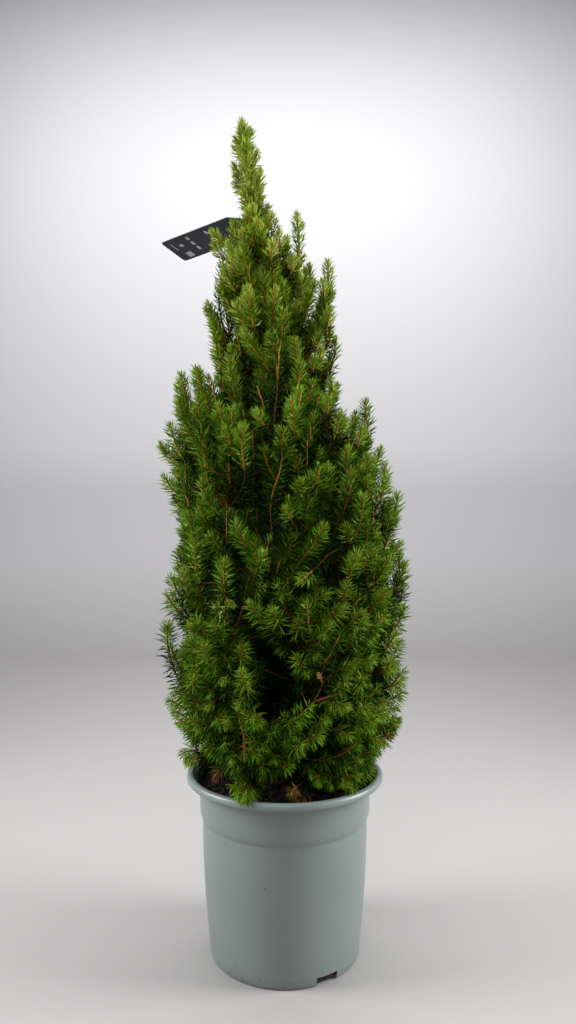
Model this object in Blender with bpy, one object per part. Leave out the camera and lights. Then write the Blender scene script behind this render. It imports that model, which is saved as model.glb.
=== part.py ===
"""Dwarf spruce in a nursery pot: pot, soil, trunk, boughs, foliage masses and a plant tag.

Metres, +Z up, origin at the middle of the pot's underside, seen from -Y with +X to the right.
"""

import math
import random

import bmesh
import bpy
from mathutils import Matrix, Vector
from mathutils.geometry import intersect_point_line

# Clearances
SEAT_GAP = 0.0003       # a piece and what carries it
SPRAY_GAP = 0.0030      # two neighbouring foliage masses

# Pot: a turned shell with an outward lip, a stepped collar and a few drain notches at its foot
POT_HEIGHT = 0.210
POT_SIDES = 32
LIP_RADIUS = 0.115
MOUTH_RADIUS = 0.1084
LIP_HEIGHT = 0.0065
COLLAR_RADIUS = 0.100
STEP_HEIGHT = 0.158
BODY_RADIUS = 0.0965
FOOT_RADIUS = 0.0868
WALL = 0.0020
FLOOR_THICKNESS = 0.0030
EDGE_ROUND = 0.0022
STEP_ROUND = 0.0010
LIP_ROUND = 0.0018
WALL_SHARES = (0.22, 0.50)      # heights between foot and step where the wall's curve has a corner
FLARE_FOOT = 0.0060     # below the lip, where the collar starts to flare out to it
THROAT_DEPTH = 0.0080   # below the lip, where the flare inside ends
FLARE_SHARE = 0.35      # how much of the mouth's flare is left at the lip's foot
NOTCH_COUNT = 3
NOTCH_WIDTH = 0.027
NOTCH_HEIGHT = 0.010
NOTCH_DEPTH = 0.012
FIRST_NOTCH_AZIMUTH = -56.0

# Soil
SOIL_TOP = 0.195

# Trunk: nearly plumb to its middle, then leaning to the left
TRUNK_SIDES = 12
TRUNK_RINGS = 17
TRUNK_TIP = 0.973
TRUNK_RADIUS = 0.0125
TIP_RADIUS = 0.0013
FLARE = 0.0060
FLARE_HEIGHT = 0.0130
FLARE_RINGS = (0.006, 0.016, 0.034)     # heights above the soil of the rings that shape the flare
TAPER_POWER = 0.85
LEAN_START = 0.50
LEAN = 0.052
LEAN_TOP = 0.982
LEAN_POWER = 1.6

# Boughs
BOUGH_SIDES = 6
BOUGH_STEPS = 3
BOUGH_FOOT_RADIUS = 0.0042
BOUGH_END_RADIUS = 0.0023
BOUGH_BOW = 0.0020
BOUGH_WIDTH = 0.006     # the room that other masses leave round a bough
LOWEST_BOUGH = 0.206    # where the lowest boughs leave the trunk

# Foliage masses
MASS_SEGMENTS = 10
MASS_RINGS = 10
LOWEST_FOLIAGE = POT_HEIGHT + 0.0008
GIRTH = 1.35            # a mass's own half width, against the share of the room that it gets
BLUNT_END = 0.030       # how far out past its tip a mass would go, if the crown's outline let it
TAIL = 0.030            # how far a mass hangs below the end of its bough
FULLNESS = 2.9          # 2 gives round ends, more gives fuller ones
WAVES = (0.16, 0.10)    # how far two and three waves round a mass swell it
WAVE_TWIST = 4.0        # how far the three waves turn between a mass's ends
UNEVEN = 0.10           # how far each corner's own width differs
TAPER = 0.16            # how much slimmer a mass is at its tip than at its middle
BLEND_POWER = 10.0      # how sharply a mass flattens against its neighbours
OUTLINE_SHARES = (0.88, 0.99)   # how near to the crown's outline the corners of a mass come
FINGERS = 4
FINGER_LENGTH = 0.024
FINGER_SPREAD = 105.0   # degrees to either side of a mass's outer side
FINGER_TURN = 18.0
FINGER_PLACES = (0.45, 0.80)    # shares of the way from foot to tip
FINGER_STAND = (0.70, 0.95)     # shares of a mass's half width
FULL_FINGER_MASS = 0.12         # masses shorter than this have shorter fingers
TRIM = 0.97             # each step of shortening, until a corner is inside the outline

# Crown outline: height, reach to the left and reach to the right of the pot's axis
CROWN_OUTLINE = (
    (0.210, -0.114, 0.114),
    (0.240, -0.122, 0.126),
    (0.275, -0.140, 0.141),
    (0.330, -0.145, 0.147),
    (0.410, -0.147, 0.146),
    (0.455, -0.138, 0.146),
    (0.505, -0.134, 0.140),
    (0.545, -0.144, 0.140),
    (0.590, -0.149, 0.122),
    (0.650, -0.137, 0.102),
    (0.668, -0.132, 0.066),
    (0.688, -0.124, 0.064),
    (0.702, -0.094, 0.064),
    (0.765, -0.096, 0.061),
    (0.820, -0.090, 0.053),
    (0.845, -0.089, 0.025),
    (0.878, -0.066, 0.020),
    (0.895, -0.064, -0.010),
    (0.945, -0.066, -0.032),
    (0.983, -0.058, -0.046),
)

# Tiers of masses. Each tier has how far below its tip a mass begins, how far out from the trunk,
# how far below that its bough leaves the trunk (none: the masses sit on the trunk itself), and how
# far a mass swells up past its tip where there is room.
# Each mass has its azimuth in degrees from +X, its tip's reach and height, and its half width.
TIERS = {
    "skirt": dict(rise=0.048, clear=0.056, drop=0.026, swell=0.022, masses=(
        ("left", 204, 0.138, 0.286, 0.062),
        ("front", 262, 0.130, 0.274, 0.062),
        ("front_right", 322, 0.132, 0.280, 0.062),
        ("right", 18, 0.140, 0.290, 0.064),
        ("back", 82, 0.136, 0.284, 0.066),
        ("back_left", 144, 0.138, 0.280, 0.064),
    )),
    "lower": dict(rise=0.086, clear=0.046, drop=0.040, swell=0.024, masses=(
        ("left", 175, 0.147, 0.356, 0.062),
        ("front_left", 233, 0.142, 0.378, 0.062),
        ("front_right", 291, 0.140, 0.366, 0.062),
        ("right", 350, 0.147, 0.376, 0.062),
        ("back_right", 50, 0.145, 0.368, 0.066),
        ("back_left", 114, 0.142, 0.374, 0.066),
    )),
    "middle": dict(rise=0.098, clear=0.042, drop=0.046, swell=0.036, masses=(
        ("left", 203, 0.146, 0.450, 0.060),
        ("front", 262, 0.138, 0.470, 0.060),
        ("front_right", 320, 0.142, 0.482, 0.060),
        ("right", 18, 0.146, 0.464, 0.062),
        ("back", 80, 0.142, 0.458, 0.066),
        ("back_left", 142, 0.140, 0.466, 0.064),
    )),
    "upper": dict(rise=0.140, clear=0.0, drop=None, swell=0.020, masses=(
        ("left", 170, 0.149, 0.592, 0.066),
        ("front_left", 228, 0.136, 0.560, 0.064),
        ("front_right", 290, 0.132, 0.574, 0.064),
        ("right", 346, 0.142, 0.546, 0.066),
        ("back_right", 44, 0.138, 0.560, 0.074),
        ("back_left", 108, 0.138, 0.572, 0.074),
    )),
    "shoulder": dict(rise=0.150, clear=0.0, drop=None, swell=0.004, masses=(
        ("left", 192, 0.128, 0.684, 0.058),
        ("front", 262, 0.110, 0.664, 0.060),
        ("right", 334, 0.112, 0.650, 0.056),
        ("back", 78, 0.112, 0.664, 0.086),
    )),
    "crown": dict(rise=0.126, clear=0.0, drop=None, swell=0.002, masses=(
        ("left", 180, 0.096, 0.764, 0.044),
        ("front", 240, 0.080, 0.770, 0.042),
        ("right", 322, 0.070, 0.752, 0.046),
        ("back", 66, 0.080, 0.742, 0.064),
    )),
    "spire": dict(rise=0.116, clear=0.0, drop=None, swell=0.0, masses=(
        ("left", 189, 0.090, 0.851, 0.028),
        ("front", 222, 0.046, 0.862, 0.027),
        ("middle_right", 338, 0.017, 0.874, 0.015),
        ("right", 5, 0.053, 0.819, 0.032),
        ("back", 112, 0.060, 0.832, 0.034),
    )),
}

# The mass round the trunk's top
LEADER_FOOT = 0.870
LEADER_TIP = 0.982
LEADER_WIDTH = 0.0145

# Plant tag: a card with a strap whose end rings the trunk
TAG_HEIGHT = 0.8640
TAG_AZIMUTH = 145.5
TAG_DROOP = 5.0
TAG_ROLL = 14.0         # its back edge is the lower one, so its underside shows from the front
TAG_LENGTH = 0.1075
TAG_WIDTH = 0.0455
TAG_STRAP = 0.0245
TAG_STRAP_WIDTH = 0.009
TAG_SHOULDER = 0.017    # the strap widens to the card along this length
TAG_CORNER = 0.0032
TAG_CORNER_STEPS = 2
TAG_OFFSET = 0.006      # the card's middle line lies this far to the back of the strap's
TAG_RING = 0.0085
TAG_RING_STEPS = 10
TAG_THICKNESS = 0.0008
TAG_HOLE_PLAY = 0.0008
TAG_ROOM = 0.0012       # the room that the masses leave round the tag

SEED = 27
SHARP_ANGLE = 40.0      # degrees between faces, past which an edge is shaded sharp
MERGE = 0.00002
PAIR_STEPS = 60         # steps that close in on the two nearest points of two lines
CENTRE_SHARES = [step / 100.0 for step in range(20, 81, 5)]
UP = Vector((0, 0, 1))
PROBE = 0.005           # the step by which the trunk's surface is followed


def clear_scene():
    for thing in list(bpy.data.objects):
        bpy.data.objects.remove(thing, do_unlink=True)


def plain_material(name, colour, roughness):
    material = bpy.data.materials.new(name)
    material.use_nodes = True
    shader = material.node_tree.nodes["Principled BSDF"]
    shader.inputs["Base Color"].default_value = (*colour, 1.0)
    shader.inputs["Roughness"].default_value = roughness
    shader.inputs["Metallic"].default_value = 0.0
    return material


def keep_shape(shape, name, material, smooth=True, turn_out=True):
    """Turn a finished bmesh into a named object, with its faces turned outwards if need be."""
    if turn_out:
        bmesh.ops.recalc_face_normals(shape, faces=shape.faces)
    mesh = bpy.data.meshes.new(name)
    shape.to_mesh(mesh)
    shape.free()
    mesh.materials.append(material)
    if smooth:
        mesh.shade_smooth()
        mesh.set_sharp_from_angle(angle=math.radians(SHARP_ANGLE))
    piece = bpy.data.objects.new(name, mesh)
    bpy.context.collection.objects.link(piece)
    return piece


def cut_away(piece, cutter, name):
    """Take one shape out of another with a live Boolean, and hide the cutter."""
    cut = piece.modifiers.new(name, "BOOLEAN")
    cut.operation = "DIFFERENCE"
    cut.solver = "EXACT"
    cut.object = cutter
    cutter.hide_render = True
    cutter.display_type = "WIRE"


def azimuth_vector(azimuth):
    angle = math.radians(azimuth)
    return Vector((math.cos(angle), math.sin(angle), 0.0))


def blend(low, high, share):
    return low + (high - low) * share


def table_value(rows, height, column):
    """Read a table of rows that start with their height, with straight lines between the rows."""
    if height <= rows[0][0]:
        return rows[0][column]
    for below, above in zip(rows, rows[1:]):
        if height <= above[0]:
            share = (height - below[0]) / (above[0] - below[0])
            return blend(below[column], above[column], share)
    return rows[-1][column]


# Pot and soil

def body_radius(height):
    """The pot's outer wall below the step: it widens quickly at the foot and is near upright above."""
    below_step = 1.0 - height / STEP_HEIGHT
    return BODY_RADIUS - (BODY_RADIUS - FOOT_RADIUS) * below_step ** 2


def outer_profile():
    lip_foot = POT_HEIGHT - LIP_HEIGHT
    heights = [EDGE_ROUND] + [STEP_HEIGHT * share for share in WALL_SHARES] + [STEP_HEIGHT]
    points = [(body_radius(0.0) - EDGE_ROUND, 0.0)]
    points += [(body_radius(height), height) for height in heights]
    points += [
        (COLLAR_RADIUS - STEP_ROUND, STEP_HEIGHT + STEP_ROUND),
        (COLLAR_RADIUS, lip_foot - FLARE_FOOT),
        (LIP_RADIUS - LIP_ROUND, lip_foot - 0.5 * LIP_ROUND),
        (LIP_RADIUS, lip_foot + 0.5 * LIP_ROUND),
        (LIP_RADIUS, POT_HEIGHT - LIP_ROUND),
        (LIP_RADIUS - LIP_ROUND, POT_HEIGHT),
    ]
    return points


def inner_profile():
    lip_foot = POT_HEIGHT - LIP_HEIGHT
    points = [
        (MOUTH_RADIUS, POT_HEIGHT),
        (blend(COLLAR_RADIUS, MOUTH_RADIUS, FLARE_SHARE), lip_foot),
        (COLLAR_RADIUS - WALL, lip_foot - THROAT_DEPTH),
        (COLLAR_RADIUS - WALL - STEP_ROUND, STEP_HEIGHT + STEP_ROUND),
        (BODY_RADIUS - WALL, STEP_HEIGHT - STEP_ROUND),
    ]
    for share in reversed(WALL_SHARES):
        points.append((body_radius(STEP_HEIGHT * share) - WALL, STEP_HEIGHT * share))
    points.append((body_radius(FLOOR_THICKNESS) - WALL, FLOOR_THICKNESS))
    return points


def turned_shape(profile, sides):
    """Spin an open profile that starts and ends on the axis into a closed shape."""
    shape = bmesh.new()
    points = [shape.verts.new((radius, 0.0, height)) for radius, height in profile]
    edges = [shape.edges.new(pair) for pair in zip(points, points[1:])]
    bmesh.ops.spin(shape, geom=points + edges, cent=(0, 0, 0), axis=(0, 0, 1),
                   angle=math.tau, steps=sides, use_duplicate=False)
    bmesh.ops.remove_doubles(shape, verts=shape.verts, dist=MERGE)
    bmesh.ops.dissolve_degenerate(shape, edges=shape.edges, dist=MERGE)
    return shape


def make_pot(material):
    profile = [(0.0, 0.0)] + outer_profile() + inner_profile() + [(0.0, FLOOR_THICKNESS)]
    pot = keep_shape(turned_shape(profile, POT_SIDES), "pot", material)
    notches = bmesh.new()
    for number in range(NOTCH_COUNT):
        azimuth = FIRST_NOTCH_AZIMUTH + number * 360.0 / NOTCH_COUNT
        place = Matrix.Translation(azimuth_vector(azimuth) * FOOT_RADIUS)
        size = Matrix.Diagonal((2.0 * NOTCH_DEPTH, NOTCH_WIDTH, 2.0 * NOTCH_HEIGHT, 1.0))
        turn = Matrix.Rotation(math.radians(azimuth), 4, "Z")
        bmesh.ops.create_cube(notches, size=1.0, matrix=place @ turn @ size)
    cutter = keep_shape(notches, "notch_cutter", material, smooth=False)
    cut_away(pot, cutter, "drain_notches")
    return pot


def make_soil(material):
    """A plug that follows the pot's inner wall, a seat gap away, up to a flat top."""
    profile = [(0.0, FLOOR_THICKNESS + SEAT_GAP)]
    for radius, height in reversed(inner_profile()):
        if height < SOIL_TOP:
            profile.append((radius - SEAT_GAP, max(height, FLOOR_THICKNESS + SEAT_GAP)))
    rim = profile[-1][0]
    profile += [(rim, SOIL_TOP - STEP_ROUND), (rim - STEP_ROUND, SOIL_TOP), (0.0, SOIL_TOP)]
    return keep_shape(turned_shape(profile, POT_SIDES), "soil", material)


# Trunk and boughs

def trunk_centre(height):
    above = max(0.0, (height - LEAN_START) / (LEAN_TOP - LEAN_START))
    return Vector((-LEAN * above ** LEAN_POWER, 0.0, height))


def trunk_radius(height):
    share = (height - SOIL_TOP) / (TRUNK_TIP - SOIL_TOP)
    taper = blend(TRUNK_RADIUS, TIP_RADIUS, max(share, 0.0) ** TAPER_POWER)
    return taper + FLARE * math.exp(-(height - SOIL_TOP) / FLARE_HEIGHT)


def limb_shape(centres, radii, sides, directions=None):
    """A closed limb through rings of points, capped flat at both ends."""
    shape = bmesh.new()
    rings = []
    for index, (centre, radius) in enumerate(zip(centres, radii)):
        if directions:
            along = directions[index]
        else:
            before = centres[max(index - 1, 0)]
            after = centres[min(index + 1, len(centres) - 1)]
            along = (after - before).normalized()
        across = along.orthogonal().normalized() if abs(along.z) < 0.999 else Vector((1, 0, 0))
        beside = along.cross(across)
        ring = []
        for side in range(sides):
            angle = math.tau * side / sides
            offset = across * math.cos(angle) + beside * math.sin(angle)
            ring.append(shape.verts.new(centre + offset * radius))
        rings.append(ring)
    for lower, upper in zip(rings, rings[1:]):
        for side in range(sides):
            following = (side + 1) % sides
            shape.faces.new((lower[side], lower[following], upper[following], upper[side]))
    shape.faces.new(list(reversed(rings[0])))
    shape.faces.new(rings[-1])
    return shape


def trunk_shape(extra):
    """The trunk, or a copy that is larger all round, for cutting its neighbours."""
    lowest = SOIL_TOP + SEAT_GAP
    heights = [lowest] + [lowest + rise for rise in FLARE_RINGS]
    steps = TRUNK_RINGS - len(heights)
    flare_top = heights[-1]
    heights += [blend(flare_top, TRUNK_TIP + extra, step / steps) for step in range(1, steps + 1)]
    centres = [trunk_centre(height) for height in heights]
    radii = [trunk_radius(height) + extra for height in heights]
    level = [UP] * len(heights)
    return limb_shape(centres, radii, TRUNK_SIDES, directions=level)


def bough_points(mass):
    """The middle line of a bough from inside the trunk to a seat gap short of its mass."""
    start, end = mass["root"], mass["foot"] - mass["bough_way"] * SEAT_GAP
    points = []
    for step in range(BOUGH_STEPS + 1):
        share = step / BOUGH_STEPS
        points.append(start.lerp(end, share) - UP * BOUGH_BOW * math.sin(math.pi * share))
    return points


def make_bough(mass, cutter, material):
    radii = [blend(BOUGH_FOOT_RADIUS, BOUGH_END_RADIUS, step / BOUGH_STEPS)
             for step in range(BOUGH_STEPS + 1)]
    ways = [mass["bough_way"]] * (BOUGH_STEPS + 1)
    shape = limb_shape(bough_points(mass), radii, BOUGH_SIDES, directions=ways)
    bough = keep_shape(shape, "bough_" + mass["name"], material)
    cut_away(bough, cutter, "trunk_seat")
    return bough


# Foliage masses

def lay_out_masses():
    """Work out each mass's foot, tip and bough from its tier's sizes."""
    masses = []
    for tier, sizes in TIERS.items():
        for side, azimuth, reach, height, width in sizes["masses"]:
            tip = azimuth_vector(azimuth) * reach + UP * height
            foot_height = height - sizes["rise"]
            axis_point = trunk_centre(foot_height)
            outward = (tip - axis_point) * Vector((1, 1, 0))
            outward.normalize()
            clear = trunk_radius(foot_height) + SEAT_GAP + sizes["clear"]
            foot = axis_point + outward * clear
            mass = dict(name=f"{tier}_{side}", foot=foot, tip=tip, width=width, outward=outward,
                        past_tip=outward * BLUNT_END + UP * sizes["swell"])
            if sizes["drop"] is not None:
                mass["root"] = trunk_centre(max(foot_height - sizes["drop"], LOWEST_BOUGH))
                mass["bough_way"] = (foot - mass["root"]).normalized()
            masses.append(mass)
    return masses


def nearest_on(point, start, end):
    nearest, share = intersect_point_line(point, start, end)
    if share <= 0.0:
        return start.copy()
    if share >= 1.0:
        return end.copy()
    return nearest


def closest_pair(first, second):
    """The two closest points of two straight stretches, by stepping from one to the other."""
    here = first[0].lerp(first[1], 0.5)
    for _ in range(PAIR_STEPS):
        there = nearest_on(here, *second)
        here = nearest_on(there, *first)
    return here, there


def wall_between(mass, stretch, other_width, gap):
    """A plane that a mass stays behind, as (normal, distance), to keep clear of a stretch."""
    here, there = closest_pair((mass["foot"], mass["tip"]), stretch)
    normal = (there - here).normalized()
    share = mass["width"] / (mass["width"] + other_width)
    return normal, normal.dot(here.lerp(there, share)) - 0.5 * gap


def trunk_wall(mass):
    """The plane that keeps a mass off the trunk, tilted to follow its taper and lean."""
    foot_height, outward = mass["foot"].z, mass["outward"]
    above, below = foot_height + 2.0 * PROBE, foot_height - 2.0 * PROBE
    surface_way = trunk_centre(above) - trunk_centre(below)
    surface_way += outward * (trunk_radius(above) - trunk_radius(below))
    surface_way.normalize()
    normal = (surface_way * outward.dot(surface_way) - outward).normalized()
    level = math.hypot(normal.x, normal.y)
    distance = math.inf
    height = foot_height - TAIL
    while height < mass["tip"].z:
        reach = normal.dot(trunk_centre(height)) - trunk_radius(height) * level
        distance = min(distance, reach)
        height += PROBE
    return normal, distance - SEAT_GAP


def tag_wall(mass, tag_corners, tag_normal):
    """The plane between a mass and the tag: above it, below it or beside it, whichever is freest."""
    ends = (mass["foot"], mass["tip"])
    tag_line = (tag_corners[0], tag_corners[1])
    here, there = closest_pair(ends, tag_line)
    ways = [tag_normal, -tag_normal, (there - here).normalized()]
    best = None
    for normal in ways:
        wall = min(normal.dot(corner) for corner in tag_corners) - TAG_ROOM
        room = wall - max(normal.dot(end) for end in ends)
        if best is None or room > best[0]:
            best = (room, normal, wall)
    return best[1], best[2]


def walls_of(mass, masses, tag_corners, tag_normal):
    """All the planes that a mass stays behind: soft against foliage, hard against carriers."""
    soft = []
    hard = [trunk_wall(mass), (Vector((0, 0, -1)), -LOWEST_FOLIAGE)]
    hard.append(tag_wall(mass, tag_corners, tag_normal))
    if "root" in mass:
        hard.append((-mass["bough_way"], -mass["bough_way"].dot(mass["foot"])))
    for other in masses:
        if other is mass:
            continue
        soft.append(wall_between(mass, (other["foot"], other["tip"]), other["width"], SPRAY_GAP))
        if "root" in other:
            hard.append(wall_between(mass, (other["root"], other["foot"]), BOUGH_WIDTH, SEAT_GAP))
    return soft, hard


def way_to(walls, centre, way):
    """How far one can go from a centre along a way before each plane."""
    distances = []
    for normal, distance in walls:
        toward = normal.dot(way)
        if toward > 1e-6:
            distances.append(max((distance - normal.dot(centre)) / toward, 1e-4))
    return distances


def roomiest_point(mass, walls):
    """The point between foot and tip that has the most room to all of a mass's planes."""
    best = None
    for share in CENTRE_SHARES:
        point = mass["foot"].lerp(mass["tip"], share)
        room = min(distance - normal.dot(point) for normal, distance in walls)
        if best is None or room > best[0]:
            best = (room, point)
    return best[1]


def outline_share(point):
    """How far out a point is in the crown's outline: under 1 inside, over 1 outside."""
    left = table_value(CROWN_OUTLINE, point.z, 1)
    right = table_value(CROWN_OUTLINE, point.z, 2)
    middle, half = 0.5 * (left + right), 0.5 * (right - left)
    return math.hypot(point.x - middle, point.y) / half


def inside_outline(centre, way, reach, share=1.0):
    """Shorten a reach until its end is inside that share of the crown's outline."""
    while reach > SPRAY_GAP and outline_share(centre + way * reach) > share:
        reach *= TRIM
    return reach


def limited(centre, way, reach, soft, hard):
    """Hold a reach back from the planes, softly near foliage and exactly at the carriers."""
    total = reach ** -BLEND_POWER
    for distance in way_to(soft, centre, way):
        total += distance ** -BLEND_POWER
    reach = total ** (-1.0 / BLEND_POWER)
    return min([reach] + way_to(hard, centre, way))


def finger_tips(mass, axis, chance):
    """Seeded points that stand out of a mass's outer side, where its longer shoots end."""
    outward = (mass["outward"] - axis * mass["outward"].dot(axis)).normalized()
    sideways = axis.cross(outward)
    length = (mass["tip"] - mass["foot"]).length
    tips = []
    for number in range(FINGERS):
        turn = blend(-FINGER_SPREAD, FINGER_SPREAD, (number + 0.5) / FINGERS)
        turn = math.radians(turn + chance.uniform(-FINGER_TURN, FINGER_TURN))
        across = outward * math.cos(turn) + sideways * math.sin(turn)
        place = mass["foot"].lerp(mass["tip"], chance.uniform(*FINGER_PLACES))
        beside = across * mass["width"] * chance.uniform(*FINGER_STAND)
        upward = (axis + UP).normalized() * FINGER_LENGTH * chance.uniform(0.7, 1.2)
        tips.append(place + beside + upward * min(1.0, length / FULL_FINGER_MASS))
    return tips


def raise_fingers(shape, mass, centre, axis, walls, chance):
    """Pull the corner nearest to each finger's way out to the finger's tip."""
    fixed = (mass["tip"], mass["foot"])
    free = [vertex for vertex in shape.verts if vertex.co not in fixed]
    for tip in finger_tips(mass, axis, chance):
        way = (tip - centre).normalized()
        reach = inside_outline(centre, way, (tip - centre).length)
        reach = min([reach] + [TRIM * room for room in way_to(walls, centre, way)])
        chosen = max(free, key=lambda vertex: (vertex.co - centre).normalized().dot(way))
        free.remove(chosen)
        if reach > (chosen.co - centre).length:
            chosen.co = centre + way * reach


def seat_on_bough(shape, mass, centre):
    """Move the corner nearest to the bough's way onto the point where the bough ends."""
    way = (mass["foot"] - centre).normalized()
    chosen = max(shape.verts, key=lambda vertex: (vertex.co - centre).normalized().dot(way))
    chosen.co = mass["foot"]


def mass_shape(mass, soft, hard, number):
    """A closed, uneven plume from foot to tip that keeps behind its planes.

    Its corners move along their ways from one centre, so a sphere's faces stay turned outwards.
    """
    chance = random.Random(SEED + number)
    seated = "root" not in mass
    low = mass["foot"] if seated else mass["foot"] - UP * TAIL
    high = mass["tip"] + mass["past_tip"]
    axis = (high - low).normalized()
    middle, half = low.lerp(high, 0.5), (high - low).length * 0.5
    centre = roomiest_point(mass, soft + hard)
    to_world = axis.to_track_quat("Z", "Y").to_matrix()
    turns = [chance.uniform(0, math.tau) for _ in range(2)]

    shape = bmesh.new()
    bmesh.ops.create_uvsphere(shape, u_segments=MASS_SEGMENTS, v_segments=MASS_RINGS, radius=1.0)
    for vertex in shape.verts:
        unit = vertex.co.copy()
        round_share = math.hypot(unit.x, unit.y)
        at_pole = round_share < 1e-4
        if at_pole and unit.z > 0:
            vertex.co = mass["tip"]
            continue
        if at_pole and seated:
            vertex.co = mass["foot"]
            continue
        angle = math.atan2(unit.y, unit.x)
        swell = 1.0 + WAVES[0] * math.sin(2.0 * angle + turns[0]) * (1.0 - unit.z ** 2)
        swell += WAVES[1] * math.sin(3.0 * angle + WAVE_TWIST * unit.z + turns[1])
        swell *= chance.uniform(1.0 - UNEVEN, 1.0 + UNEVEN)
        width = mass["width"] * GIRTH * (1.0 - TAPER * unit.z) * swell
        full_share = (1.0 - abs(unit.z) ** FULLNESS) ** (1.0 / FULLNESS)
        across = 0.0 if at_pole else width * full_share / round_share
        offset = middle + to_world @ Vector((unit.x * across, unit.y * across, unit.z * half)) - centre
        way = offset.normalized()
        reach = limited(centre, way, offset.length, soft, hard)
        vertex.co = centre + way * inside_outline(centre, way, reach, chance.uniform(*OUTLINE_SHARES))
    if not seated:
        seat_on_bough(shape, mass, centre)
    raise_fingers(shape, mass, centre, axis, soft + hard, chance)
    return shape


def leader_mass():
    foot, tip = trunk_centre(LEADER_FOOT), trunk_centre(LEADER_TIP)
    return dict(name="leader_top", foot=foot, tip=tip, width=LEADER_WIDTH,
                past_tip=Vector((0, 0, 0)), outward=Vector((1, 0, 0)))


def make_leader(mass, soft, hard, cutter, material):
    """The top mass, with the trunk's end cut out of it."""
    shape = mass_shape(mass, soft, hard, len(mass["name"]))
    leader = keep_shape(shape, mass["name"], material, turn_out=False)
    cut_away(leader, cutter, "trunk_socket")
    return leader


# Plant tag

def tag_frame():
    """The tag's own axes: out along the card, across it, and up through it."""
    out = azimuth_vector(TAG_AZIMUTH)
    out = (out - Vector((0, 0, math.tan(math.radians(TAG_DROOP))))).normalized()
    turn = Matrix.Rotation(math.radians(TAG_ROLL), 3, out)
    across = turn @ UP.cross(out).normalized()
    return out, across, out.cross(across)


def tag_point(along, beside, above=0.0):
    out, across, up = tag_frame()
    return trunk_centre(TAG_HEIGHT) + out * along + across * beside + up * above


def tag_corners():
    """The tag's flat outer corners, with its middle line first."""
    near = -TAG_RING
    far = TAG_RING + TAG_STRAP + TAG_LENGTH
    corners = [tag_point(near, 0.0), tag_point(far, -TAG_OFFSET)]
    for along, beside in ((near, -TAG_RING), (near, TAG_RING), (TAG_STRAP, TAG_RING)):
        corners.append(tag_point(along, beside))
    for side in (-0.5, 0.5):
        for along in (TAG_RING + TAG_STRAP, far):
            corners.append(tag_point(along, side * TAG_WIDTH - TAG_OFFSET))
    return corners


def card_corner(far, edge, side):
    """One of the card's two rounded far corners, as points in order round the outline."""
    points = []
    for step in range(TAG_CORNER_STEPS + 1):
        angle = math.radians(90.0) * step / TAG_CORNER_STEPS
        along = far - TAG_CORNER * (1.0 - math.sin(angle))
        points.append((along, edge - side * TAG_CORNER * (1.0 - math.cos(angle))))
    return points if side > 0 else points[::-1]


def make_tag(material):
    """The card, its strap and the ring round the trunk, cut from one flat outline."""
    strap_end = TAG_RING + TAG_STRAP
    half_strap = 0.5 * TAG_STRAP_WIDTH
    half_card = 0.5 * TAG_WIDTH
    outline = [(strap_end - TAG_SHOULDER, half_strap), (strap_end, half_card - TAG_OFFSET)]
    for side in (1.0, -1.0):
        outline += card_corner(strap_end + TAG_LENGTH, side * half_card - TAG_OFFSET, side)
    outline += [(strap_end, -half_card - TAG_OFFSET), (strap_end - TAG_SHOULDER, -half_strap)]
    opening = math.asin(half_strap / TAG_RING)
    for step in range(TAG_RING_STEPS + 1):
        angle = -opening - (math.tau - 2.0 * opening) * step / TAG_RING_STEPS
        outline.append((TAG_RING * math.cos(angle), TAG_RING * math.sin(angle)))
    shape = bmesh.new()
    below = [shape.verts.new(tag_point(x, y, -0.5 * TAG_THICKNESS)) for x, y in outline]
    card = shape.faces.new(below)
    grown = bmesh.ops.extrude_face_region(shape, geom=[card])
    top = [item for item in grown["geom"] if isinstance(item, bmesh.types.BMVert)]
    bmesh.ops.translate(shape, verts=top, vec=tag_frame()[2] * TAG_THICKNESS)
    tag = keep_shape(shape, "plant_tag", material, smooth=False)
    low, high = tag_point(0, 0, -0.01), tag_point(0, 0, 0.01)
    hole_radius = trunk_radius(TAG_HEIGHT) + TAG_HOLE_PLAY
    hole = limb_shape([low, high], [hole_radius] * 2, TRUNK_SIDES)
    cut_away(tag, keep_shape(hole, "tag_hole_cutter", material, smooth=False), "trunk_hole")
    return tag


def main():
    clear_scene()
    plastic = plain_material("pot_plastic", (0.17, 0.20, 0.19), 0.45)
    peat = plain_material("peat", (0.030, 0.018, 0.012), 0.95)
    bark = plain_material("bark", (0.20, 0.11, 0.06), 0.85)
    needles = plain_material("needles", (0.07, 0.16, 0.02), 0.65)
    card = plain_material("tag_card", (0.020, 0.024, 0.032), 0.50)

    make_pot(plastic)
    make_soil(peat)
    trunk = keep_shape(trunk_shape(0.0), "trunk", bark)
    trunk_cutter = keep_shape(trunk_shape(SEAT_GAP), "trunk_cutter", bark)
    make_tag(card)

    masses = lay_out_masses()
    leader = leader_mass()
    corners, tag_normal = tag_corners(), tag_frame()[2]
    for number, mass in enumerate(masses):
        soft, hard = walls_of(mass, masses + [leader], corners, tag_normal)
        keep_shape(mass_shape(mass, soft, hard, number), mass["name"], needles, turn_out=False)
        if "root" in mass:
            make_bough(mass, trunk_cutter, bark)
    soft = [wall_between(leader, (other["foot"], other["tip"]), other["width"], SPRAY_GAP)
            for other in masses]
    hard = [tag_wall(leader, corners, tag_normal)]
    make_leader(leader, soft, hard, trunk_cutter, needles)
    print("made", len(masses) + 1, "masses on", trunk.name)


main()
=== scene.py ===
# %% [markdown]
# # A dwarf spruce in a nursery pot
# The plant is built the way it grows. Its limbs and the outer skin of each foliage mass come from
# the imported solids. This script grows twigs, shoots and needles inside those skins, gives the limbs
# their bark, turns a finer pot, breaks up the peat, and finishes the card tag. Everything is in
# metres, with +Z up, and the plant is seen from -Y.

# %% Load the solids
import math

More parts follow.
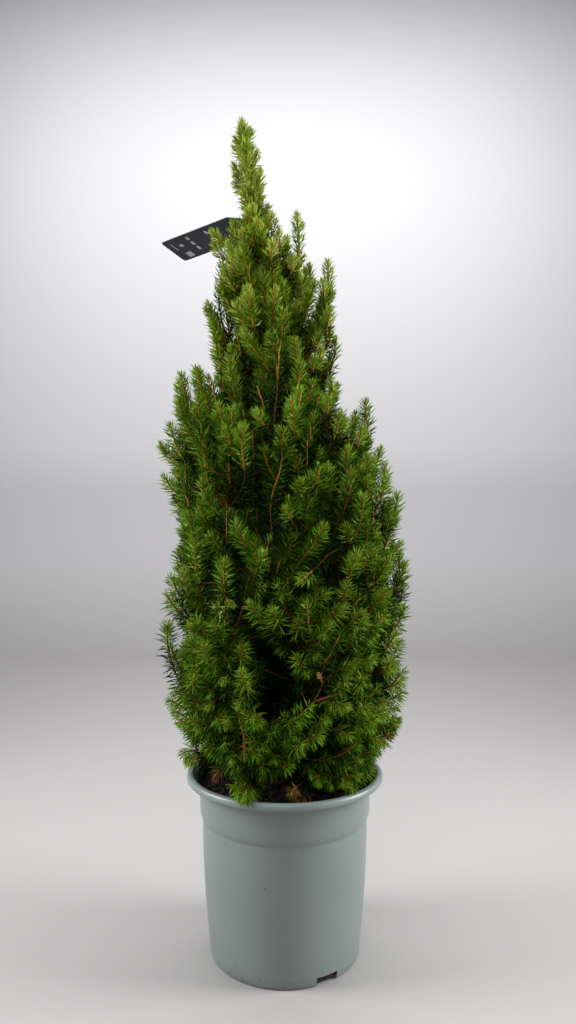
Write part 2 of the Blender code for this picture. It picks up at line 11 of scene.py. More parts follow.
import bpy
import numpy as np
from mathutils import Matrix, Vector
from mathutils.bvhtree import BVHTree
from mathutils.kdtree import KDTree


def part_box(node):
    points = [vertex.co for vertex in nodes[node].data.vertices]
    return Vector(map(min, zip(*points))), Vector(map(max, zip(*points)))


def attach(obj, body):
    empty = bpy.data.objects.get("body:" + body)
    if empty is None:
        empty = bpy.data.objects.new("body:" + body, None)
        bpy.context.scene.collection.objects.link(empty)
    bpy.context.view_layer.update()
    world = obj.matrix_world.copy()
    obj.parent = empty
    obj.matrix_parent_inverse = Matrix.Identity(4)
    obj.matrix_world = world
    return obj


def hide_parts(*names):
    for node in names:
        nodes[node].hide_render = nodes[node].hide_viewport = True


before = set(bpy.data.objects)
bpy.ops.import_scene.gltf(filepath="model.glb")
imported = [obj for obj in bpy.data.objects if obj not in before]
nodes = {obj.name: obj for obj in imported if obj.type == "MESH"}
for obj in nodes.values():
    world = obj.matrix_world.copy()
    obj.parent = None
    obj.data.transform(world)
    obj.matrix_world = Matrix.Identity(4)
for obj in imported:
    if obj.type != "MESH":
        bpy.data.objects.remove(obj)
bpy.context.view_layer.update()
chance = np.random.default_rng(4127)

# %% [markdown]
# ## The camera
# The plant was photographed level, from a little under a metre away, so upright edges stay upright.
# A level camera with the same field of view gives the same perspective on the rim and the foot of
# the pot. The two helpers turn a place in the picture into a place on the plant, and back.

# %% Camera
PHOTO_WIDTH, PHOTO_HEIGHT = 576, 1024
FOCAL_PIXELS = 770.0
SENSOR = 36.0
CAMERA_PLACE = np.array((0.0037, -0.9127, 0.514))

camera_data = bpy.data.cameras.new("camera")
camera_data.sensor_width = SENSOR
camera_data.lens = FOCAL_PIXELS * SENSOR / PHOTO_HEIGHT
camera = bpy.data.objects.new("camera", camera_data)
bpy.context.collection.objects.link(camera)
camera.location = CAMERA_PLACE
camera.rotation_euler = (math.radians(90), 0, 0)
bpy.context.scene.camera = camera


def seen_at(column, row, y):
    """The point that shows at this column and row, at a depth y behind the pot's axis."""
    distance = y - CAMERA_PLACE[1]
    x = CAMERA_PLACE[0] + (column - PHOTO_WIDTH / 2) / FOCAL_PIXELS * distance
    z = CAMERA_PLACE[2] - (row - PHOTO_HEIGHT / 2) / FOCAL_PIXELS * distance
    return np.array((x, y, z))


def place_in_picture(points):
    """The column and row at which points show."""
    distance = points[..., 1] - CAMERA_PLACE[1]
    column = PHOTO_WIDTH / 2 + FOCAL_PIXELS * (points[..., 0] - CAMERA_PLACE[0]) / distance
    row = PHOTO_HEIGHT / 2 - FOCAL_PIXELS * (points[..., 2] - CAMERA_PLACE[2]) / distance
    return column, row


print("lens", round(camera_data.lens, 2), "mm")

# %% [markdown]
# ## Shader sums as plain Python
# A material is a tree of nodes. Wrapping an output socket in a small class lets sums and products
# be written as Python, and each one adds a Math node. Every other node comes from one function.

# %% Shader helpers
class Shade:
    """One output socket, so that + - * on it read as plain sums."""

    def __init__(self, tree, socket):
        self.tree = tree
        self.socket = socket

    def combine(self, operation, first, second):
        return add_node(self.tree, "ShaderNodeMath", {"operation": operation}, {0: first, 1: second})

    def __add__(self, other):
        return self.combine("ADD", self, other)

    def __radd__(self, other):
        return self.combine("ADD", other, self)

    def __sub__(self, other):
        return self.combine("SUBTRACT", self, other)

    def __rsub__(self, other):
        return self.combine("SUBTRACT", other, self)

    def __mul__(self, other):
        return self.combine("MULTIPLY", self, other)

    def __rmul__(self, other):
        return self.combine("MULTIPLY", other, self)


def add_node(tree, kind, settings=None, inputs=None, output=0):
    """Add a node: its settings first, then the values or links of its sockets."""
    node = tree.nodes.new(kind)
    for name, value in (settings or {}).items():
        if name == "stops":
            ramp = node.color_ramp
            while len(ramp.elements) < len(value):
                ramp.elements.new(0.5)
            for element, (place, colour) in zip(ramp.elements, value):
                element.position = place
                element.color = (*colour, 1.0)
        else:
            setattr(node, name, value)
    for name, value in (inputs or {}).items():
        socket = node.inputs[name]
        if isinstance(value, Shade):
            tree.links.new(value.socket, socket)
        elif isinstance(value, tuple) and socket.type == "RGBA":
            socket.default_value = (*value, 1.0)
        else:
            socket.default_value = value
    return Shade(tree, node.outputs[output] if node.outputs else None)


def new_material(name):
    material = bpy.data.materials.new(name)
    material.use_nodes = True
    tree = material.node_tree
    tree.nodes.clear()
    return material, tree


def finish_material(tree, sockets):
    """End a tree in a Principled shader with these sockets."""
    surface = add_node(tree, "ShaderNodeBsdfPrincipled", inputs=sockets)
    add_node(tree, "ShaderNodeOutputMaterial", inputs={"Surface": surface})


def plain_material(name, colour, roughness, specular=0.5):
    material, tree = new_material(name)
    finish_material(tree, {"Base Color": colour, "Roughness": roughness,
                           "Specular IOR Level": specular})
    return material


def place_of(tree):
    return add_node(tree, "ShaderNodeTexCoord", output="Object")


def noise(tree, place, scale, detail=4.0, roughness=0.55):
    return add_node(tree, "ShaderNodeTexNoise", inputs={
        "Vector": place, "Scale": scale, "Detail": detail, "Roughness": roughness})


def ramp(tree, factor, stops):
    return add_node(tree, "ShaderNodeValToRGB", {"stops": stops}, {"Fac": factor})


def mixed(tree, factor, first, second):
    """Mix two colours."""
    return add_node(tree, "ShaderNodeMix", {"data_type": "RGBA"}, {0: factor, 6: first, 7: second}, 2)


def bump(tree, height, strength, distance):
    return add_node(tree, "ShaderNodeBump", inputs={
        "Height": height, "Strength": strength, "Distance": distance})


# %% [markdown]
# ## Joined meshes from arrays
# Needles and twigs are too many to model one by one, so their corners are worked out as arrays and
# joined into a few meshes. A twig is a thin closed tube. A needle is the smallest closed mesh there
# is: a point where it leaves the stem, a point at its end, and two corners at its thickest place,
# off to one side of the line between the points, which gives the needle its thickness and its curve.

# %% Mesh helpers
def show_piece(name, corners, faces, materials, material_of_face=None, smooth=True):
    """Make one object from corner and face arrays, and let it ride on the plant."""
    mesh = bpy.data.meshes.new(name)
    mesh.from_pydata(corners.tolist(), [], faces.tolist())
    for material in materials:
        mesh.materials.append(material)
    if material_of_face is not None:
        mesh.polygons.foreach_set("material_index", material_of_face)
    if smooth:
        mesh.shade_smooth()
    piece = bpy.data.objects.new(name, mesh)
    bpy.context.collection.objects.link(piece)
    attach(piece, "root")
    return piece


def unit(vectors):
    return vectors / np.maximum(np.linalg.norm(vectors, axis=-1, keepdims=True), 1e-9)


def cross_frame(along):
    """Two directions square to each direction given."""
    helper = np.where(np.abs(along[..., 2:3]) < 0.8, [0.0, 0.0, 1.0], [1.0, 0.0, 0.0])
    across = unit(np.cross(along, helper))
    return across, np.cross(along, across)


def tubes(paths, radii, sides):
    """Corners and faces of many closed tubes: paths is (count, points, 3), radii (count, points)."""
    count, points, _ = paths.shape
    along = unit(paths[:, -1:] - paths[:, :1]).repeat(points, axis=1)
    first, second = cross_frame(along)
    turns = np.arange(sides) * math.tau / sides
    rings = (first[:, :, None] * np.cos(turns)[None, None, :, None]
             + second[:, :, None] * np.sin(turns)[None, None, :, None])
    corners = paths[:, :, None] + rings * radii[:, :, None, None]
    number = np.arange(count * points * sides).reshape(count, points, sides)
    following = np.roll(number, -1, axis=2)
    walls = np.stack((number[:, :-1], following[:, :-1], following[:, 1:], number[:, 1:]), axis=-1)
    walls = walls.reshape(-1, 4)
    walls = np.concatenate((walls[:, [0, 1, 2]], walls[:, [0, 2, 3]]))
    caps = []
    for corner in range(1, sides - 1):
        caps.append(np.stack((number[:, 0, 0], number[:, 0, corner + 1], number[:, 0, corner]), axis=1))
        caps.append(np.stack((number[:, -1, 0], number[:, -1, corner], number[:, -1, corner + 1]), axis=1))
    return corners.reshape(-1, 3), np.concatenate([walls] + caps)


NEEDLE_FACES = np.array(((0, 2, 3), (1, 3, 2), (0, 1, 2), (0, 3, 1)))
NEEDLE_CORNERS = 4
THICKEST = 0.52


def spindles(roots, ends, widths, bends):
    """Corners and faces of many needles, each bent towards its own bend."""
    along = unit(ends - roots)
    outward = unit(bends - along * (bends * along).sum(axis=1, keepdims=True))
    across = np.cross(along, outward) * (0.5 * widths)[:, None]
    middle = roots + (ends - roots) * THICKEST + outward * np.linalg.norm(bends, axis=1)[:, None]
    corners = np.stack((roots, ends, middle + across, middle - across), axis=1)
    faces = np.arange(len(roots))[:, None, None] * NEEDLE_CORNERS + NEEDLE_FACES[None]
    return corners.reshape(-1, 3), faces.reshape(-1, 3)


# %% [markdown]
# ## Reading the solids
# The trunk's middle line is the middle of each ring of its solid. A foliage mass grows from the
# corner that lies closest to the trunk towards the corner furthest from there, and that line is
# its spine. One tree of all the masses' faces tells how far inside the crown a point lies.

# %% Trunk line, spines and skin
def corners_of(node):
    return np.array([corner.co for corner in nodes[node].data.vertices])


trunk_corners = corners_of("trunk")
levels = np.unique(np.round(trunk_corners[:, 2], 4))
ring_middles, ring_sizes = [], []
for level in levels:
    ring = trunk_corners[np.abs(trunk_corners[:, 2] - level) < 2e-4]
    middle = 0.5 * (ring.min(axis=0) + ring.max(axis=0))
    ring_middles.append(middle)
    ring_sizes.append(np.linalg.norm(ring[:, :2] - middle[:2], axis=1).max())
ring_middles, ring_sizes = np.array(ring_middles), np.array(ring_sizes)


def trunk_at(height):
    height = np.clip(height, levels[0], levels[-1])
    x = np.interp(height, levels, ring_middles[:, 0])
    y = np.interp(height, levels, ring_middles[:, 1])
    return np.stack((x, y, height * np.ones_like(x)), axis=-1)


TIERS = ("skirt", "lower", "middle", "upper", "shoulder", "crown", "spire", "leader")
mass_names = sorted(name for name in nodes if name.split("_")[0] in TIERS)
bough_names = sorted(name for name in nodes if name.startswith("bough_"))
skins, spines = {}, {}
all_corners, all_triangles, corner_count = [], [], 0
for name in mass_names:
    mesh = nodes[name].data
    mesh.calc_loop_triangles()
    corners = corners_of(name)
    triangles = np.array([triangle.vertices for triangle in mesh.loop_triangles])
    skins[name] = (corners, triangles)
    all_corners.append(corners)
    all_triangles.append(triangles + corner_count)
    corner_count += len(corners)
    from_trunk = np.linalg.norm(corners - trunk_at(corners[:, 2]), axis=1)
    root = corners[from_trunk.argmin()]
    tip = corners[np.linalg.norm(corners - root, axis=1).argmax()]
    spines[name] = (root, tip)
crown_skin = BVHTree.FromPolygons(np.concatenate(all_corners).tolist(),
                                  np.concatenate(all_triangles).tolist())
mass_middles = np.array([skins[name][0].mean(axis=0) for name in mass_names])


def outside_by(point):
    """How far outside the crown's skin a point lies, under 0 inside it."""
    nearest, normal, _, distance = crown_skin.find_nearest(Vector(point))
    return distance if (Vector(point) - nearest).dot(normal) > 0 else -distance


WAVE = 0.018        # how far a limb strays from its even curve, as a share of its length


def curve_through(start, control, end, count):
    """Points on a curve that leaves towards the control point, with a slight seeded wave."""
    share = np.linspace(0, 1, count)[:, None]
    even = start * (1 - share) ** 2 + control * 2 * share * (1 - share) + end * share ** 2
    wave = np.sin(math.pi * share) * np.sin(math.tau * share + chance.uniform(0, math.tau))
    return even + wave * chance.normal(0, WAVE, 3) * np.linalg.norm(end - start)


SPINE_END, SPIRE_END, SPINE_RISE, SPINE_SAG, SPINE_POINTS = 0.70, 0.40, 0.012, 0.006, 16
spine_curves = {}
for name, (root, tip) in spines.items():
    if name != "leader_top":
        start = root if "bough_" + name in nodes else trunk_at(root[2] - SPINE_RISE)
        low = root + (tip - root) * 0.45 - (0, 0, SPINE_SAG)
        end = root + (tip - root) * (SPIRE_END if name.startswith("spire") else SPINE_END)
        spine_curves[name] = curve_through(start, low, end, SPINE_POINTS)
trunk_line = trunk_at(np.arange(0.24, levels[-1] - 0.02, 0.006))
limb_points = np.concatenate([trunk_line] + list(spine_curves.values()))
print("masses:", len(mass_names), "trunk from", levels[0], "to", levels[-1])

# %% [markdown]
# ## How this plant grows
# Near the pot the shoots reach out almost level and sag a little. Higher up they rise more and more
# steeply, and at the top they stand beside the leader like candles. Each long shoot carries shorter
# side shoots, longer the further they are from its tip, turned round it by the golden angle. The
# rules below are seeded, so the plant is the same every time.

# %% Growing rules
HEIGHTS = (0.22, 0.30, 0.40, 0.50, 0.62, 0.80)
LIFTS = (12, 40, 56, 65, 75, 84)            # degrees above level, at those heights
SHORTEST, LONGEST = (0.038, 0.045), (0.068, 0.090)  # long shoots, at the lowest and highest place
WANDERS = (0.22, 0.12)
ASIDE = (0.90, 0.12)            # how far shoots turn to either side, in radians
SHOOT_POINTS = 6
GOLDEN_TURN = math.radians(137.5)
SIDE_STEP = 0.0112
FIRST_SIDE = 0.016
SIDE_ANGLE, SIDE_OPENING = math.radians(38), math.radians(22)
SIDE_SHARES = (0.52, 0.34)
SIDE_LENGTHS = (0.011, 0.038)
SPILL = 0.0015
BENDING_COST = 1.9
NAMED, LONG, SIDE, INNER, OLD = range(5)

shoot_paths, shoot_ranks, shoot_masses, dry_shoots = [], [], [], []


def part_of(path, first, last, count):
    """Points at even steps between two shares of a path's length."""
    steps = np.linalg.norm(np.diff(path, axis=0), axis=1)
    travelled = np.concatenate(([0], np.cumsum(steps)))
    wanted = np.linspace(first, last, count) * travelled[-1]
    return np.stack([np.interp(wanted, travelled, path[:, axis]) for axis in range(3)], axis=1)


def outward_at(point):
    outward = (point - trunk_at(point[2])) * (1, 1, 0)
    return outward / max(np.linalg.norm(outward), 1e-6)


def height_share(height):
    return float(np.clip((height - HEIGHTS[0]) / (HEIGHTS[-1] - HEIGHTS[0]), 0, 1))


def at_height(pair, height):
    """A value that changes evenly from the lowest to the highest place."""
    return pair[0] + (pair[1] - pair[0]) * height_share(height)


def growing_way(point):
    """The way in which a shoot that ends here grows."""
    wander = at_height(WANDERS, point[2])
    lift = math.radians(np.interp(point[2], HEIGHTS, LIFTS)) + chance.normal(0, wander)
    turn = chance.choice((-1, 1)) * at_height(ASIDE, point[2]) + chance.normal(0, 1.2 * wander)
    outward = outward_at(point)
    turned = outward * math.cos(turn) + np.cross((0, 0, 1), outward) * math.sin(turn)
    return turned * math.cos(lift) + np.array((0, 0, math.sin(lift)))


def add_shoot(path, rank, mass):
    shoot_paths.append(path)
    shoot_ranks.append(rank)
    shoot_masses.append(mass)


def add_side_shoots(path, mass, step=1.0, share=1.0, rank=SIDE):
    """Shorter shoots round a long one, that curve up beside it."""
    share = share * at_height(SIDE_SHARES, path[-1, 2])
    length = np.linalg.norm(np.diff(path, axis=0), axis=1).sum()
    from_tip = FIRST_SIDE * chance.uniform(0.8, 1.2)
    turn = chance.uniform(0, math.tau)
    while from_tip < length - 0.004:
        place, ahead = part_of(path, 1 - from_tip / length, 1 - 0.8 * from_tip / length, 2)
        forward = unit(ahead - place)
        across, beside = cross_frame(forward)
        side = across * math.cos(turn) + beside * math.sin(turn)
        facing = outward_at(place).dot(side)
        angle = SIDE_ANGLE + SIDE_OPENING * max(facing, 0) + chance.normal(0, 0.14)
        size = np.clip(share * from_tip * chance.uniform(0.7, 1.3), *SIDE_LENGTHS)
        way = unit(forward * math.cos(angle) + side * math.sin(angle))
        end = place + way * size + forward * size * 0.12
        side_path = curve_through(place, place + way * size * 0.5, end, SHOOT_POINTS)
        hidden = facing < -0.45 and chance.random() < 0.7
        if outside_by(end) < SPILL and not hidden and not crosses_gap(side_path):
            add_shoot(side_path, rank, mass)
        turn += GOLDEN_TURN
        from_tip += step * SIDE_STEP * chance.uniform(0.75, 1.25)


def joint_for(base, way):
    """The place on a limb from which a twig gets to a shoot's base with least length and bend."""
    gap = base - limb_points
    reach = np.maximum(np.linalg.norm(gap, axis=1), 0.006)
    return limb_points[int((reach * (BENDING_COST - (gap @ way) / reach)).argmin())]


def add_twig(start, way, mass):
    """An older twig that leaves its limb and arrives at a shoot's start along the shoot."""
    joint = joint_for(start, way)
    reach = np.linalg.norm(start - joint)
    add_shoot(curve_through(joint, start - way * 0.5 * reach, start, SHOOT_POINTS), OLD, mass)


print("long shoots rise", LIFTS[0], "to", LIFTS[-1], "degrees")

# %% [markdown]
# ## Gaps
# The crown is not closed: in places the backdrop shows between the sprays, and in others one looks
# past the outer sprays into the dark. No shoot is grown across those lines of sight.

# %% Gaps
GAPS = (
    # column, row, half width, half height, and the depth up to which nothing grows
    (312, 303, 6, 15, 0.2), (210, 570, 6, 5, 0.2), (179, 636, 7, 13, 0.2), (246, 602, 4, 3, 0.2),
    (215, 608, 4, 8, 0.2), (391, 577, 4, 13, 0.2), (322, 316, 3, 7, 0.2),
    (316, 345, 3, 4, 0.2), (326, 383, 4, 8, 0.2),
    (331, 560, 10, 12, -0.03), (238, 568, 13, 14, -0.03), (267, 699, 13, 26, -0.01),
    (289, 479, 6, 17, -0.03), (258, 648, 10, 15, -0.02), (247, 395, 10, 16, -0.02),
    (277, 545, 5, 9, -0.04), (240, 618, 9, 9, -0.03), (289, 676, 11, 8, -0.02),
    (276, 416, 9, 9, -0.03), (312, 392, 7, 9, -0.03), (334, 507, 8, 9, -0.04),
    (262, 474, 7, 9, -0.04), (304, 586, 8, 9, -0.05),
    # sky beside the outer shoots
    (216, 265, 6, 14, 0.2), (207, 362, 9, 13, 0.2), (215, 381, 6, 11, 0.2), (190, 388, 6, 14, 0.2),
    (173, 408, 5, 12, 0.2), (355, 396, 6, 9, 0.2), (347, 404, 5, 9, 0.2), (282, 229, 4, 8, 0.2),
    (375, 420, 5, 18, 0.2), (177, 517, 5, 8, 0.2), (193, 744, 4, 4, 0.2), (389, 750, 11, 8, 0.2),
    (309, 237, 6, 10, 0.2), (348, 432, 3, 5, 0.2), (289, 220, 6, 13, 0.2),
    (177, 421, 4, 8, 0.2), (170, 470, 4, 8, 0.2), (221, 390, 4, 9, 0.2), (221, 318, 3, 8, 0.2),
    # peat that shows between the lowest sprays
    (204, 779, 10, 11, 0.05), (228, 780, 9, 6, 0.05), (270, 797, 9, 8, 0.05),
    (366, 785, 9, 7, 0.05), (288, 783, 13, 17, 0.0),
)


def crosses_gap(path):
    columns, rows = place_in_picture(path)
    for column, row, half_width, half_height, depth in GAPS:
        near = ((columns - column) / half_width) ** 2 + ((rows - row) / half_height) ** 2
        if np.any((near < 1.0) & (path[:, 1] < depth)):
            return True
    return False


print("gaps:", len(GAPS))

# %% [markdown]
# ## The shoots that show
# The shoots on the plant's outline and front give it its character, so these are placed by where
# they show: column and row of the tip, then of the base. A line of sight through the tip meets the
# crown's skin, and that gives the depth. Each leans out from the trunk as others at its height do.

# %% Shoots placed where they show
SEEN_SHOOTS = (
    # leader
    (232, 135, 242, 147), (232, 145, 244, 159), (231, 162, 246, 181), (232, 182, 248, 197),
    (248, 193, 256, 216), (247, 137, 246, 160), (247, 130, 244, 148), (261, 166, 257, 192),
    (262, 184, 256, 206), (271, 203, 259, 224), (268, 215, 262, 236), (246, 205, 256, 226),
    (233, 172, 246, 188), (249, 151, 247, 174), (252, 203, 258, 232),
    (262, 222, 262, 246), (250, 222, 255, 248), (241, 226, 248, 252), (238, 124, 243, 140),
    (247, 138, 246, 158), (240, 153, 247, 172), (244, 171, 251, 190), (247, 181, 253, 200),
    (240, 187, 250, 206), (250, 166, 251, 184), (259, 191, 256, 210), (241, 199, 252, 216),
    (244, 121, 243, 140), (236, 144, 245, 158), (253, 182, 254, 200),
    # top, left to right
    (233, 217, 238, 243), (209, 229, 229, 247), (211, 243, 226, 259), (219, 276, 236, 318),
    (206, 305, 229, 350), (233, 300, 254, 340), (241, 327, 275, 378), (243, 241, 259, 322),
    (256, 216, 272, 300), (279, 227, 280, 250), (288, 241, 283, 274), (297, 210, 296, 279),
    (299, 268, 301, 332), (310, 262, 306, 296), (317, 278, 307, 302), (328, 257, 322, 326),
    (281, 276, 289, 335), (298, 287, 302, 345), (294, 335, 298, 367), (336, 335, 330, 372),
    (325, 357, 308, 372), (281, 374, 287, 393), (227, 354, 240, 416), (215, 376, 228, 392),
    (255, 369, 276, 394), (331, 375, 331, 400), (315, 378, 303, 407), (262, 262, 268, 322),
    (246, 283, 255, 330), (270, 330, 278, 370), (311, 318, 306, 352), (321, 300, 317, 338),
    (306, 266, 303, 300), (310, 288, 304, 322), (206, 300, 222, 330), (211, 316, 225, 346),
    (222, 262, 236, 292), (229, 250, 240, 278), (236, 246, 246, 276), (226, 240, 238, 262),
    (331, 283, 326, 306), (322, 290, 326, 314), (331, 304, 327, 327), (323, 314, 327, 338),
    (331, 326, 328, 346), (321, 330, 316, 350), (314, 322, 311, 342), (323, 345, 318, 363),
    (316, 353, 312, 370), (322, 277, 324, 298), (334, 384, 331, 405), (328, 393, 327, 413),
    (293, 252, 290, 274), (286, 251, 286, 273), (274, 211, 266, 232), (272, 237, 271, 260),
    (213, 332, 220, 356), (215, 345, 223, 368),
    # left side
    (180, 370, 195, 427), (194, 364, 218, 426), (176, 395, 204, 459), (168, 421, 184, 459),
    (158, 442, 201, 481), (162, 474, 178, 494), (172, 496, 189, 517), (181, 524, 190, 543),
    (194, 531, 204, 610), (180, 544, 186, 562), (169, 574, 182, 597), (181, 569, 209, 627),
    (165, 592, 180, 613), (186, 623, 204, 637), (168, 619, 169, 651), (170, 645, 187, 681),
    (182, 642, 191, 658), (202, 640, 218, 677), (172, 709, 188, 719), (195, 666, 194, 688),
    (167, 698, 186, 710), (174, 722, 192, 722), (171, 686, 188, 700), (176, 548, 186, 572),
    (177, 562, 189, 590),
    # middle
    (291, 395, 296, 441), (242, 421, 245, 470), (226, 425, 235, 457), (254, 408, 264, 425),
    (296, 452, 299, 476), (320, 448, 318, 463), (209, 459, 235, 487), (219, 478, 224, 490),
    (234, 487, 249, 507), (251, 493, 255, 509), (314, 470, 295, 555), (326, 523, 295, 569),
    (262, 508, 284, 564), (284, 505, 291, 520), (274, 423, 277, 432), (283, 437, 286, 446),
    (272, 449, 276, 458), (312, 436, 309, 446), (291, 477, 293, 486), (207, 532, 224, 551),
    # right side
    (366, 397, 362, 456), (356, 416, 353, 440), (340, 409, 335, 436), (347, 416, 340, 438),
    (382, 446, 374, 467), (385, 461, 382, 486), (367, 454, 372, 534), (348, 436, 331, 472),
    (399, 490, 382, 553), (345, 522, 348, 542), (402, 541, 391, 557), (358, 548, 348, 578),
    (372, 544, 361, 570), (392, 555, 368, 590), (400, 551, 396, 593), (349, 580, 340, 604),
    (389, 589, 366, 613), (398, 630, 383, 652), (406, 668, 385, 689), (397, 664, 380, 673),
    (391, 498, 380, 532), (387, 476, 378, 506), (406, 560, 393, 592), (405, 583, 392, 614),
    (406, 604, 392, 632), (406, 690, 384, 702), (400, 706, 380, 713), (397, 716, 378, 722),
    (356, 410, 352, 434), (363, 424, 357, 448), (390, 507, 386, 530), (405, 678, 388, 688),
    (394, 541, 389, 560), (393, 655, 385, 672), (402, 716, 391, 724),
    # lower front
    (348, 606, 306, 630), (364, 610, 348, 647), (377, 661, 341, 656), (354, 666, 328, 678),
    (297, 583, 312, 571), (298, 618, 299, 637), (235, 608, 227, 598), (271, 607, 280, 627),
    (281, 654, 285, 635), (240, 670, 249, 694), (236, 706, 247, 694), (263, 724, 246, 711),
    (220, 685, 228, 675), (207, 699, 214, 689), (204, 710, 215, 701), (222, 597, 219, 616),
    (351, 706, 320, 698), (350, 677, 333, 690), (390, 714, 361, 717), (387, 699, 371, 707),
    (354, 736, 332, 730), (327, 716, 313, 731), (400, 720, 367, 746), (324, 734, 300, 742),
    # over the rim and the peat
    (261, 757, 240, 746), (231, 762, 242, 747), (185, 757, 202, 762), (241, 799, 251, 783),
    (179, 754, 198, 750), (183, 764, 199, 757),
    (246, 802, 254, 786), (236, 797, 248, 784), (214, 778, 223, 766), (316, 783, 322, 768),
    (328, 787, 334, 770),
    (343, 785, 342, 769), (361, 772, 345, 777), (374, 768, 354, 762), (386, 745, 366, 738),
    (289, 794, 297, 787), (292, 798, 301, 790), (298, 801, 306, 791), (392, 732, 376, 744),
    (318, 672, 322, 682),
)
OVER_THE_RIM = {(241, 799): -0.112, (246, 802): -0.112, (236, 797): -0.110}     # their depths
DRY_TIPS = ((214, 778), (289, 794), (292, 798), (298, 801), (392, 732), (318, 672))
PALE_TIP = (318, 672)
SEEN_BOUGHS = (
    ((298, 727), (303, 717), (310, 706), (317, 696), (324, 682), (331, 674), (342, 668), (354, 664)),
    ((313, 702), (322, 699), (333, 695), (343, 694)),
    ((244, 762), (245, 748), (244, 735), (240, 722), (238, 706)),
)
SEEN_BOUGH_DEPTHS = (0.014, 0.004)      # behind the skin, at its base and at its end
SEEN_INSET = 0.004
NEEDLES_BEYOND = 0.0050     # what shows as a shoot's tip is the end of its needles
ARCH_HEIGHT = 0.30      # below this, shoots arch over instead of curving up
ARCH, UPTURN = 0.10, 0.07


def depth_seen(column, row):
    """The depth at which the line of sight meets the crown, or passes closest to it."""
    start = Vector(CAMERA_PLACE)
    way = (Vector(seen_at(column, row, 0.0)) - start).normalized()
    hit = crown_skin.ray_cast(start, way)[0]
    if hit is not None:
        return hit.y
    depths = np.linspace(-0.13, 0.10, 47)
    gaps = [crown_skin.find_nearest(Vector(seen_at(column, row, y)))[3] for y in depths]
    return depths[int(np.argmin(gaps))]


named_paths = []
for tip_column, tip_row, base_column, base_row in SEEN_SHOOTS:
    depth = OVER_THE_RIM.get((tip_column, tip_row)) or depth_seen(tip_column, tip_row) + SEEN_INSET
    tip = seen_at(tip_column, tip_row, depth)
    flat = seen_at(base_column, base_row, tip[1])
    lift = math.radians(max(np.interp(tip[2], HEIGHTS, LIFTS), 30))
    lean = max(-outward_at(tip)[1], 0.0) * (abs(tip[2] - flat[2]) / math.tan(lift) + 0.004)
    base = seen_at(base_column, base_row, tip[1] + lean)
    tip = tip + unit(base - tip) * NEEDLES_BEYOND
    size = np.linalg.norm(tip - base)
    if tip[2] < ARCH_HEIGHT:
        control = (tip + base) / 2 + np.array((0, 0, ARCH * size))
    else:
        control = (tip + base) / 2 + (outward_at(base) - (0, 0, 1)) * UPTURN * size
    path = curve_through(base, control, tip, SHOOT_POINTS)
    mass = mass_names[int(np.linalg.norm(mass_middles - path[2], axis=1).argmin())]
    named_paths.append(path)
    if (tip_column, tip_row) == PALE_TIP:
        pale_shoot = len(shoot_paths)
    else:
        add_twig(base, unit(path[1] - path[0]), mass)
    if (tip_column, tip_row) in DRY_TIPS:
        dry_shoots.append(len(shoot_paths))
    add_shoot(path, NAMED, mass)
    if size > 0.030:
        add_side_shoots(path, mass, 1.6, 0.7)
seen_boughs = []
for bough in SEEN_BOUGHS:
    end_depth = depth_seen(*bough[-1])
    depths = end_depth + np.linspace(*SEEN_BOUGH_DEPTHS, len(bough))
    line = np.array([seen_at(column, row, depth) for (column, row), depth in zip(bough, depths)])
    seen_boughs.append(line)
    named_paths.append(part_of(line, 0, 1, SHOOT_POINTS))
    mass = mass_names[int(np.linalg.norm(mass_middles - line[-1], axis=1).argmin())]
    add_shoot(part_of(line, 0.55, 1, SHOOT_POINTS), INNER, mass)
    add_side_shoots(part_of(line, 0.40, 1, SHOOT_POINTS), mass, 1.2, 1.0)
    add_twig(line[0], unit(line[1] - line[0]), mass)
named_points = np.concatenate(named_paths)
named_columns, named_rows = place_in_picture(named_points)
print("shoots placed by eye:", len(named_paths), "with side shoots:", len(shoot_paths))

# %% [markdown]
# ## Shoots in every mass
# The rest of the crown, on all sides, is grown by rule. Tips are spread over each mass's skin with
# an even spacing, closer together towards the top. A long shoot arrives at its tip in its growing
# way, and a bare twig joins it to the mass's spine. Shorter shoots, darker as painted shade, fill
# the mass inside.

# %% Grow the masses
SPACINGS = (0.0262, 0.0182)     # between tips, at the lowest and the highest place
CANDIDATES = 1100
INSETS = (0.001, 0.009)
FACING_LEAST = 0.03
INNER_TRIES, INNER_REACH, INNER_HEIGHTS = 26000, 0.145, (0.235, 0.86)
INNER_SPACING, INNER_COVER = 0.0135, 0.009
INNER_LENGTHS = (0.028, 0.046)
LOWEST_TIP = 0.216
NAMED_ROOM = 5.0        # pixels that stay free in front of a shoot placed one by one
NAMED_DEPTH = 0.004


def hides_something(path):
    """Whether a shoot would cross a gap, or cover a shoot that is placed one by one."""
    columns, rows = place_in_picture(path)
    apart = np.hypot(named_columns - columns[:, None], named_rows - rows[:, None])
    covered = (apart < NAMED_ROOM) & (named_points[:, 1] + NAMED_DEPTH > path[:, 1:2])
    return crosses_gap(path) or covered.any(axis=1).sum() > 1


